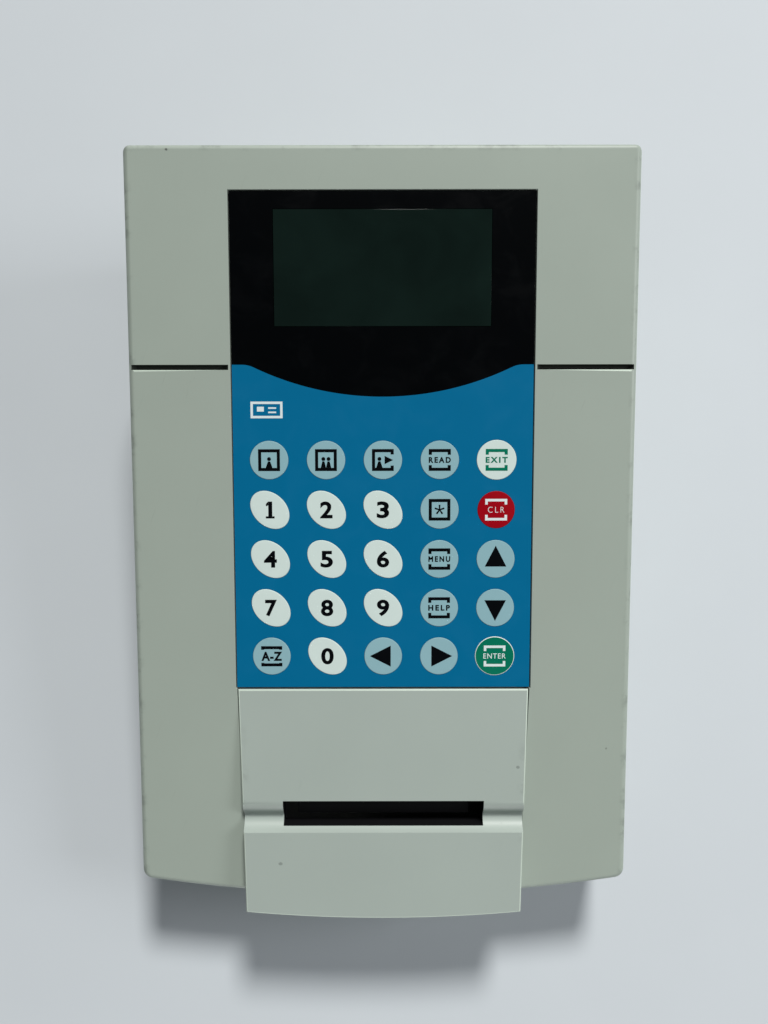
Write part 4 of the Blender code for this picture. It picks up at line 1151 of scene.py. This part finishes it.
class ENCODER_OT_overlay(bpy.types.Operator):
    """Model the printed film with its black and blue zones, key openings and a small card pictogram"""
    bl_idname = "encoder.overlay"
    bl_label = "Printed Film"

    def execute(self, context):
        finish = context.scene.encoder_finishes
        sizes = context.scene.encoder_keypad
        black = film_material("film_black", finish.black, 0.34, 0.06, 0.15)
        blue = film_material("film_blue", finish.blue, 0.42, 0.12, 0.04)
        white = ink_material("film_white_print", finish.pale_ink)
        mesh = bmesh.new()
        for index, upper in ((0, True), (1, False)):
            zone = bmesh.new()
            film_zone(zone, upper)
            close_face(zone)
            pour(mesh, zone, index)
        bmesh.ops.remove_doubles(mesh, verts=mesh.verts, dist=WELD)
        raise_faces(mesh, FILM_LOW.z, FILM_HIGH.z)
        film = as_piece(mesh, "printed_film", black, blue, white)
        cut(film, window_block(0.00012, -0.001, 0.004))
        holes = bmesh.new()
        for name in ALL_KEYS:
            add_key_rod(holes, name, sizes.hairline, -0.004, 0.001)
        cut(film, holes)
        mark = pictogram()
        raise_faces(mark, -0.00002, sizes.print_height)
        joined = bmesh.new()
        joined.from_mesh(film.data)
        pour(joined, mark, 2, Matrix.Translation((-0.0435, -0.0965, FILM_HIGH.z)))
        joined.to_mesh(film.data)
        joined.free()
        finish_piece(film, "housing", ["graphic_overlay"], FACE)
        return {'FINISHED'}


# ------------------------------------------------------------------ keys
def add_frame(mesh, width, height, line, returns=None, open_sides=(-1, 1)):
    """A printed outline; on its open sides only short returns are left at the top and the bottom."""
    ring = bmesh.new()
    add_bar(ring, -width / 2, -height / 2, width / 2, height / 2)
    middle = ring.faces[:]
    bmesh.ops.inset_region(ring, faces=middle, thickness=line, use_boundary=True, use_even_offset=True)
    bmesh.ops.delete(ring, geom=middle, context='FACES')
    if returns is not None:
        for sign in (-1, 1):
            level = sign * (height / 2 - returns)
            bmesh.ops.bisect_plane(
                ring, geom=whole(ring), dist=WELD, plane_co=(0, level, 0), plane_no=(0, 1, 0))
        gone = []
        for face in ring.faces:
            centre = face.calc_center_median()
            if abs(centre.y) < height / 2 - returns and math.copysign(1, centre.x) in open_sides:
                gone.append(face)
        bmesh.ops.delete(ring, geom=gone, context='FACES')
    pour(mesh, ring, 0)


def add_person(mesh, x, floor, body=0.0013):
    add_dot(mesh, x, 0.0004, 0.00073)
    add_taper(mesh, x, floor, -0.0005, body, 0.00042)


def add_triangle(mesh, low, high, half, place):
    """A solid triangle, pointing up before it is placed."""
    arrow = bmesh.new()
    add_taper(arrow, 0, low, high, half, 0.0)
    clean_flat(arrow)
    pour(mesh, arrow, 0, place)


def add_star(mesh):
    for arm in range(5):
        ray = bmesh.new()
        add_taper(ray, 0, 0.0, 0.0019, 0.00024, 0.00034)
        pour(mesh, ray, 0, Matrix.Rotation(arm * 2 * math.pi / 5, 4, 'Z'))


def add_one(mesh, height):
    """The digit one with its flag and foot."""
    half, stroke = height / 2, 0.00150
    add_bar(mesh, -stroke / 2 + 0.0002, -half + 0.0008, stroke / 2 + 0.0002, half)
    add_bar(mesh, -0.0015, -half, 0.0018, -half + 0.00079)
    flag = add_bar(mesh, -0.0014, half - 0.0014, -stroke / 2 + 0.00019, half)
    for corner in flag:
        if corner.co.x < -0.001:
            corner.co.y -= 0.0009 if corner.co.y > half - 0.0005 else 0.0004


def key_legend(name):
    """The flat printed legend of a key, about the key's middle."""
    sizes = bpy.context.scene.encoder_keypad
    size, line = sizes.frame_size, sizes.frame_line
    if name in ("key_clear", "key_enter"):
        line *= 0.82
    floor = -size / 2 + line + 0.00001
    mesh = bmesh.new()
    words = {"key_read": "READ", "key_exit": "EXIT", "key_clear": "CLR", "key_menu": "MENU",
             "key_help": "HELP", "key_enter": "ENTER"}
    if name == "key_1":
        add_one(mesh, sizes.digit_height)
    elif name[-1].isdigit():
        width = {"0": 0.0048, "4": 0.0049, "7": 0.0045}.get(name[-1], 0.0047)
        pour(mesh, lettering(name[-1], width, sizes.digit_height, 0.00032), 0)
    elif name in words:
        word = words[name]
        width = {"CLR": 0.0062, "ENTER": 0.0086}.get(word, 0.0083)
        height = 0.0020 if word == "ENTER" else sizes.word_height
        weight = {"CLR": -0.00012, "ENTER": 0.00006}.get(word, 0.00042)
        add_frame(mesh, size + 0.0001, size, line, 0.00215)
        pour(mesh, lettering(word, width, height, weight, 1.12 if word == "ENTER" else 1.4), 0)
    elif name == "key_letters":
        add_frame(mesh, size - 0.0001, size - 0.0003, line, line + 0.0002)
        pour(mesh, lettering("A-Z", 0.0080, 0.0036, 0.00042, 1.12), 0)
    elif name == "key_star":
        add_frame(mesh, size, size, line)
        add_star(mesh)
    elif name == "key_single_guest":
        add_frame(mesh, size, size, line)
        add_person(mesh, 0, floor)
    elif name == "key_double_guest":
        add_frame(mesh, size, size, line)
        add_person(mesh, -0.00098, floor, 0.00097)
        add_person(mesh, 0.00098, floor, 0.00097)
    elif name == "key_check_out":
        add_frame(mesh, size, size, line, 0.0020, (1,))
        add_person(mesh, -0.0013, floor, 0.0012)
        place = Matrix.Translation((0.00065, 0, 0)) @ Matrix.Rotation(-math.pi / 2, 4, 'Z')
        add_triangle(mesh, 0, 0.0032, 0.00155, place)
    else:
        turns = {"key_up": 0.0, "key_left": math.pi / 2, "key_down": math.pi, "key_right": -math.pi / 2}
        add_triangle(mesh, -0.0029, 0.0051, 0.0041, Matrix.Rotation(turns[name], 4, 'Z'))
    clean_flat(mesh)
    return mesh


class ENCODER_OT_keys(bpy.types.Operator):
    """Model the embossed keys with their printed legends"""
    bl_idname = "encoder.keys"
    bl_label = "Keys"

    def execute(self, context):
        finish = context.scene.encoder_finishes
        sizes = context.scene.encoder_keypad
        faces = {
            "grey": (film_material("key_film_grey", finish.key_grey, 0.40), "key_grey_film"),
            "white": (film_material("key_film_white", finish.key_white, 0.40, 0.3, 0.03), "key_white_film"),
            "red": (film_material("key_film_red", finish.key_red, 0.40), "key_red_film"),
            "green": (film_material("key_film_green", finish.key_green, 0.40), "key_green_film"),
        }
        inks = {
            "dark": ink_material("ink_dark", finish.ink),
            "green": ink_material("ink_green", finish.key_green),
            "pale": ink_material("ink_pale", finish.pale_ink),
        }
        for name in ALL_KEYS:
            tint = "white" if name[-1].isdigit() or name == "key_exit" else {
                "key_clear": "red", "key_enter": "green"}.get(name, "grey")
            ink = {"key_exit": "green", "key_clear": "pale", "key_enter": "pale"}.get(name, "dark")
            self.make_key(name, faces[tint], inks[ink], inks["pale"], sizes)
        return {'FINISHED'}

    def make_key(self, name, face, ink, ring, sizes):
        low, high = face_box(name)
        long, short, turn = key_outline(name)
        mesh = bmesh.new()
        shape = Matrix.Rotation(turn, 4, 'Z') @ Matrix.Diagonal((long / 2, short / 2, 1, 1))
        bmesh.ops.create_circle(mesh, cap_ends=True, segments=72, radius=1, matrix=shape)
        clean_flat(mesh)
        raise_faces(mesh, low.z - high.z, 0)
        soften(mesh, top_rim(mesh), sizes.rim_radius, 3)
        top = max(mesh.faces, key=lambda item: item.calc_center_median().z + item.calc_area())
        if name == "key_enter":
            bmesh.ops.inset_region(mesh, faces=[top], thickness=0.00005, use_even_offset=True)
            for item in mesh.faces:
                item.material_index = 2
            top.material_index = 0
        elif name[-1].isdigit():
            self.emboss(mesh, top, 0.00004 if name == "key_1" else 0.000012)
        legend = key_legend(name)
        raise_faces(legend, -0.00003, sizes.print_height)
        pour(mesh, legend, 1)
        piece = as_piece(mesh, f"{name}_cap_face", face[0], ink, ring)
        centre = key_centre(name)
        place = FACE @ Matrix.Translation((centre.x, centre.y, high.z - sizes.print_height))
        finish_piece(piece, f"{name}_cap", [name], place)

    @staticmethod
    def emboss(mesh, top, height):
        """A slight raised ring inside the key's outline."""
        bmesh.ops.inset_region(mesh, faces=[top], thickness=0.0011, use_even_offset=True)
        bmesh.ops.inset_region(mesh, faces=[top], thickness=0.00022, depth=height)
        bmesh.ops.inset_region(mesh, faces=[top], thickness=0.00022, depth=-height)


# ------------------------------------------------------------------ display
class ENCODER_OT_display(bpy.types.Operator):
    """Model the smoked display window and the parts under it"""
    bl_idname = "encoder.display"
    bl_label = "Display"

    def execute(self, context):
        finish = context.scene.encoder_finishes
        smoked, tree, shader, where = new_material("smoked_window")
        if tree is not None:
            local = face_coordinates(tree, where, (0.0, (WINDOW_LOW.y + WINDOW_HIGH.y) / 2, 0.0))
            clouds = noise(tree, local, 38.0, 3.0, 0.5, 0.8)
            tone = blend_colour(tree, clouds, shade(finish.window, 0.55), shade(finish.window, 1.6))
            tree.links.new(tone, shader.inputs["Base Color"])
            smears = noise(tree, local, 90.0, 4.0, 0.6)
            rough = maths(tree, 'ADD', 0.10, maths(tree, 'MULTIPLY', band(tree, smears, 0.45, 0.75), 0.10))
            tree.links.new(rough, shader.inputs["Roughness"])
            shader.inputs["Specular IOR Level"].default_value = 0.12
        pane = window_block(0, -WINDOW_HIGH.z, -WINDOW_LOW.z)
        soften(pane, top_rim(pane), 0.0002, 3)
        window = as_piece(pane, "smoked_display_window", smoked)
        finish_piece(window, "housing", ["display_window"], FACE)

        glass = plain_material("display_glass", (0.020, 0.030, 0.026), 0.12, 0.0, 120.0, 0.000002)
        for name, material, slot, radius in (
                ("lcd_bezel", zinc_steel(), "zinc_steel", 0.00035),
                ("lcd_board", green_board(), "circuit_board", 0.0002),
                ("lcd_glass", glass, "lcd_glass", 0.0002)):
            mesh = merged_copy(name)
            piece = as_piece(mesh, f"{name}_part", material)
            soften_where(piece, lambda point: True, radius, 2)
            finish_piece(piece, "housing", [name])
        return {'FINISHED'}


# ------------------------------------------------------------------ feet, screws and sockets
class ENCODER_OT_fasteners(bpy.types.Operator):
    """Model the rubber feet and the cross-recessed case screws"""
    bl_idname = "encoder.fasteners"
    bl_label = "Feet and Screws"

    def execute(self, context):
        rubber = plain_material("foot_rubber", (0.014, 0.014, 0.014), 0.78, 0.0, 700.0, 0.00004)
        steel = plain_material("screw_steel", (0.50, 0.50, 0.49), 0.34, 1.0, 900.0)
        for number in range(1, 5):
            self.foot(number, rubber)
        for number, x, y, low, high in screw_places():
            self.screw(number, x, y, low, high, steel)
        return {'FINISHED'}

    @staticmethod
    def foot(number, rubber):
        low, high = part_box(f"foot_{number}")
        mesh = bmesh.new()
        width = high.x - low.x
        add_rod(mesh, (0, 0, 0), high.z - low.z, width * 0.86, segments=48, end_diameter=width)
        rim = [edge for edge in mesh.edges if all(vertex.co.z < TOUCH for vertex in edge.verts)]
        soften(mesh, rim, 0.0006, 4)
        under = min(mesh.faces, key=lambda face: face.calc_center_median().z - face.calc_area())
        bmesh.ops.inset_region(mesh, faces=[under], thickness=0.0016)
        bmesh.ops.inset_region(mesh, faces=[under], thickness=0.0003, depth=-0.0004)
        foot = as_piece(mesh, f"rubber_foot_{number}", rubber)
        place = Matrix.Translation(((low.x + high.x) / 2, (low.y + high.y) / 2, low.z))
        finish_piece(foot, "housing", [f"foot_{number}"], place)

    @staticmethod
    def screw(number, x, y, low, high, steel):
        mesh = bmesh.new()
        half, crest, root = SCREW_HEAD / 2, 0.0015, 0.00115
        profile = [(0, 0), (half - 0.0006, 0), (half - 0.00015, 0.00035), (half, 0.0008),
                   (half, SCREW_HEAD_HEIGHT), (crest, SCREW_HEAD_HEIGHT)]
        turns = int((high - low - SCREW_HEAD_HEIGHT - 2 * THREAD_PITCH) / THREAD_PITCH)
        for step in range(turns):
            start = SCREW_HEAD_HEIGHT + step * THREAD_PITCH
            profile += [(root, start + 0.00012), (crest, start + 0.0003), (root, start + 0.00048)]
        profile += [(0.0009, high - low - 0.0005), (0, high - low)]
        polyline(mesh, [(radius, 0, height) for radius, height in profile])
        bmesh.ops.spin(
            mesh, geom=whole(mesh), cent=(0, 0, 0), axis=(0, 0, 1), angle=2 * math.pi, steps=24,
            use_merge=True, use_duplicate=False)
        bmesh.ops.remove_doubles(mesh, verts=mesh.verts, dist=TOUCH)
        bmesh.ops.recalc_face_normals(mesh, faces=mesh.faces)
        screw = as_piece(mesh, f"cross_screw_{number}", steel)
        for turn in (0.0, math.pi / 2):
            recess = block((-0.0016, -0.00035, -0.001), (0.0016, 0.00035, 0.0013))
            for vertex in recess.verts:
                if vertex.co.z > 0:
                    vertex.co.x *= 0.55
            cut(screw, blank(recess, Matrix.Rotation(turn, 4, 'Z')))
        finish_piece(screw, "housing", [f"case_screw_{number}"], Matrix.Translation((x, y, low)))


class ENCODER_OT_sockets(bpy.types.Operator):
    """Model the power, serial and network sockets in the rear wall"""
    bl_idname = "encoder.sockets"
    bl_label = "Rear Sockets"

    def execute(self, context):
        black = black_plastic()
        tin = plain_material("tinned_contact", (0.62, 0.60, 0.52), 0.28, 1.0, 500.0)
        gold = plain_material("gold_contact", (0.72, 0.50, 0.16), 0.26, 1.0, 500.0)
        for name in ("power_socket", "serial_socket", "network_socket"):
            low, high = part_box(name)
            mesh = merged_copy(name)
            piece = as_piece(mesh, f"{name}_shell", black, tin, gold)
            soften_where(piece, lambda point: point.y > high.y - NEAR, 0.0003, 2)
            middle = (low + high) / 2
            mesh = bmesh.new()
            mesh.from_mesh(piece.data)
            contacts = bmesh.new()
            if name == "power_socket":
                add_rod(contacts, (middle.x, high.y - CONTACT_DEPTH, middle.z), 0.0075, 0.0020, 'Y', 24)
                rim = [edge for edge in contacts.edges
                       if all(vertex.co.y > high.y - 0.00101 for vertex in edge.verts)]
                soften(contacts, rim, 0.0005, 3)
            elif name == "serial_socket":
                for row, count, height in ((0, 5, 0.0010), (1, 4, -0.0010)):
                    for step in range(count):
                        x = middle.x + (step - (count - 1) / 2) * 0.00276
                        add_rod(contacts, (x, high.y - CONTACT_DEPTH, middle.z + height), 0.0066, 0.0010, 'Y', 12)
            else:
                for step in range(8):
                    x = middle.x + (step - 3.5) * 0.00102
                    add_block(contacts, (x - 0.00022, high.y - 0.0100, middle.z + 0.0026),
                              (x + 0.00022, high.y - 0.0018, middle.z + 0.0030))
            pour(mesh, contacts, 1 if name == "power_socket" else 2)
            mesh.to_mesh(piece.data)
            mesh.free()
            finish_piece(piece, "housing", [name])
        return {'FINISHED'}


# ------------------------------------------------------------------ card reader and boards
class ENCODER_OT_mechanism(bpy.types.Operator):
    """Finish the card path, transport, head, boards and ribbon under the housing"""
    bl_idname = "encoder.mechanism"
    bl_label = "Card Mechanism"

    def execute(self, context):
        black = black_plastic()
        rubber = plain_material("roller_rubber", (0.016, 0.016, 0.017), 0.75, 0.0, 900.0, 0.00004)
        steel = plain_material("turned_steel", (0.52, 0.52, 0.53), 0.27, 1.0, 700.0, 0.00001, brushed=True)
        zinc, board = zinc_steel(), green_board()
        film = plain_material("circuit_film", (0.50, 0.52, 0.46), 0.42, 0.0, 300.0)
        rounded = (
            ("card_guide", "housing", black, "black_plastic", 0.0002),
            ("card_shutter", "shutter", black, "black_plastic", 0.0001),
            ("reader_chassis", "housing", zinc, "zinc_steel", 0.0002),
            ("magnetic_head", "head_lever", steel, "steel", 0.0003),
        )
        for name, body, material, slot, radius in rounded:
            mesh = merged_copy(name)
            piece = as_piece(mesh, f"{name}_part", material)
            soften_where(piece, lambda point: True, radius, 2, 1.2)
            finish_piece(piece, body, [name])
        kept = {
            "main_board": board, "keypad_circuit": film, "keypad_ribbon": film, "drive_motor": zinc,
            "motor_pulley": black, "drive_belt": rubber, "drive_shaft": steel, "drive_roller": rubber,
            "pressure_axle": steel, "pressure_roller": rubber, "head_arm": zinc, "head_pin": steel,
        }
        for name, material in kept.items():
            part = NODES[name]
            part.data.materials.clear()
            part.data.materials.append(material)
        return {'FINISHED'}


# ------------------------------------------------------------------ stage
class ENCODER_OT_stage(bpy.types.Operator):
    """Set up the pale floor, the soft lights and the camera"""
    bl_idname = "encoder.stage"
    bl_label = "Stage"

    def execute(self, context):
        stage = context.scene.encoder_stage
        material, tree, shader, where = new_material("pale_floor")
        clouds = noise(tree, where, 14.0, 3.0)
        tone = blend_colour(tree, clouds, shade(stage.floor, 0.975), shade(stage.floor, 1.02))
        tree.links.new(tone, shader.inputs["Base Color"])
        shader.inputs["Roughness"].default_value = 0.75
        mesh = bmesh.new()
        bmesh.ops.create_grid(mesh, x_segments=1, y_segments=1, size=3.0)
        floor = as_piece(mesh, "floor", material)

        world = bpy.data.worlds.get("World") or bpy.data.worlds.new("World")
        context.scene.world = world
        world.use_nodes = True
        surroundings = world.node_tree.nodes["Background"]
        surroundings.inputs["Color"].default_value = (0.90, 0.95, 1.0, 1.0)
        surroundings.inputs["Strength"].default_value = stage.room

        middle = (0.0, -0.14, 0.0)
        self.lamp("key_light", stage.key_power, 1.7, (1.1, 6.6, 4.4), middle, (1.0, 0.99, 0.965))
        self.lamp("fill_light", stage.fill_power, 0.50, (0.95, 0.10, 0.65), middle, (0.97, 0.98, 1.0))
        self.lamp("front_light", stage.front_power, 0.25, (0.0, -1.0, 0.22), (0.0, -0.25, 0.0), (1.0, 1.0, 1.0))
        context.scene.view_settings.view_transform = 'Standard'

        lens = bpy.data.cameras.new("camera")
        lens.lens = stage.lens
        lens.sensor_width = 36.0
        camera = bpy.data.objects.new("camera", lens)
        context.scene.collection.objects.link(camera)
        spot = Matrix.Translation((stage.camera_across, stage.camera_along, stage.camera_height))
        aim = Matrix.Rotation(-stage.camera_tilt, 4, 'X') @ Matrix.Rotation(stage.camera_roll, 4, 'Z')
        camera.matrix_world = FACE @ spot @ aim
        context.scene.camera = camera
        return {'FINISHED'}

    @staticmethod
    def lamp(name, power, size, spot, target, tint):
        light = bpy.data.lights.new(name, 'AREA')
        light.energy = power
        light.shape = 'DISK'
        light.size = size
        light.color = tint
        item = bpy.data.objects.new(name, light)
        bpy.context.scene.collection.objects.link(item)
        place = FACE @ Vector(spot)
        item.location = place
        item.rotation_mode = 'QUATERNION'
        item.rotation_quaternion = (FACE @ Vector(target) - place).to_track_quat('-Z', 'Y')


class ENCODER_PT_parts(bpy.types.Panel):
    """Lists the encoder's pieces and their sizes"""
    bl_label = "Key Card Encoder"
    bl_idname = "ENCODER_PT_parts"
    bl_space_type = 'VIEW_3D'
    bl_region_type = 'UI'
    bl_category = "Encoder"

    def draw(self, context):
        for operator in OPERATORS:
            self.layout.operator(operator.bl_idname)
        for label, group in (
                ("Housing", context.scene.encoder_housing), ("Reader Cover", context.scene.encoder_cover),
                ("Keypad", context.scene.encoder_keypad), ("Finishes", context.scene.encoder_finishes),
                ("Stage", context.scene.encoder_stage)):
            box = self.layout.box()
            box.label(text=label)
            for name in group.__annotations__:
                box.prop(group, name)


OPERATORS = (
    ENCODER_OT_housing, ENCODER_OT_base, ENCODER_OT_reader_cover, ENCODER_OT_overlay, ENCODER_OT_keys,
    ENCODER_OT_display, ENCODER_OT_fasteners, ENCODER_OT_sockets, ENCODER_OT_mechanism, ENCODER_OT_stage,
)
SETTINGS = {
    "encoder_housing": EncoderHousingSizes, "encoder_cover": EncoderCoverSizes,
    "encoder_keypad": EncoderKeypadSizes, "encoder_finishes": EncoderFinishes, "encoder_stage": EncoderStage,
}


def register():
    for group in SETTINGS.values():
        bpy.utils.register_class(group)
    for operator in OPERATORS:
        bpy.utils.register_class(operator)
    bpy.utils.register_class(ENCODER_PT_parts)
    for name, group in SETTINGS.items():
        setattr(bpy.types.Scene, name, bpy.props.PointerProperty(type=group))


def unregister():
    for name in SETTINGS:
        delattr(bpy.types.Scene, name)
    bpy.utils.unregister_class(ENCODER_PT_parts)
    for operator in reversed(OPERATORS):
        bpy.utils.unregister_class(operator)
    for group in reversed(list(SETTINGS.values())):
        bpy.utils.unregister_class(group)


def main():
    register()
    bpy.ops.encoder.housing()
    bpy.ops.encoder.base()
    bpy.ops.encoder.reader_cover()
    bpy.ops.encoder.overlay()
    bpy.ops.encoder.keys()
    bpy.ops.encoder.display()
    bpy.ops.encoder.fasteners()
    bpy.ops.encoder.sockets()
    bpy.ops.encoder.mechanism()
    bpy.ops.encoder.stage()


if __name__ == "__main__":
    main()
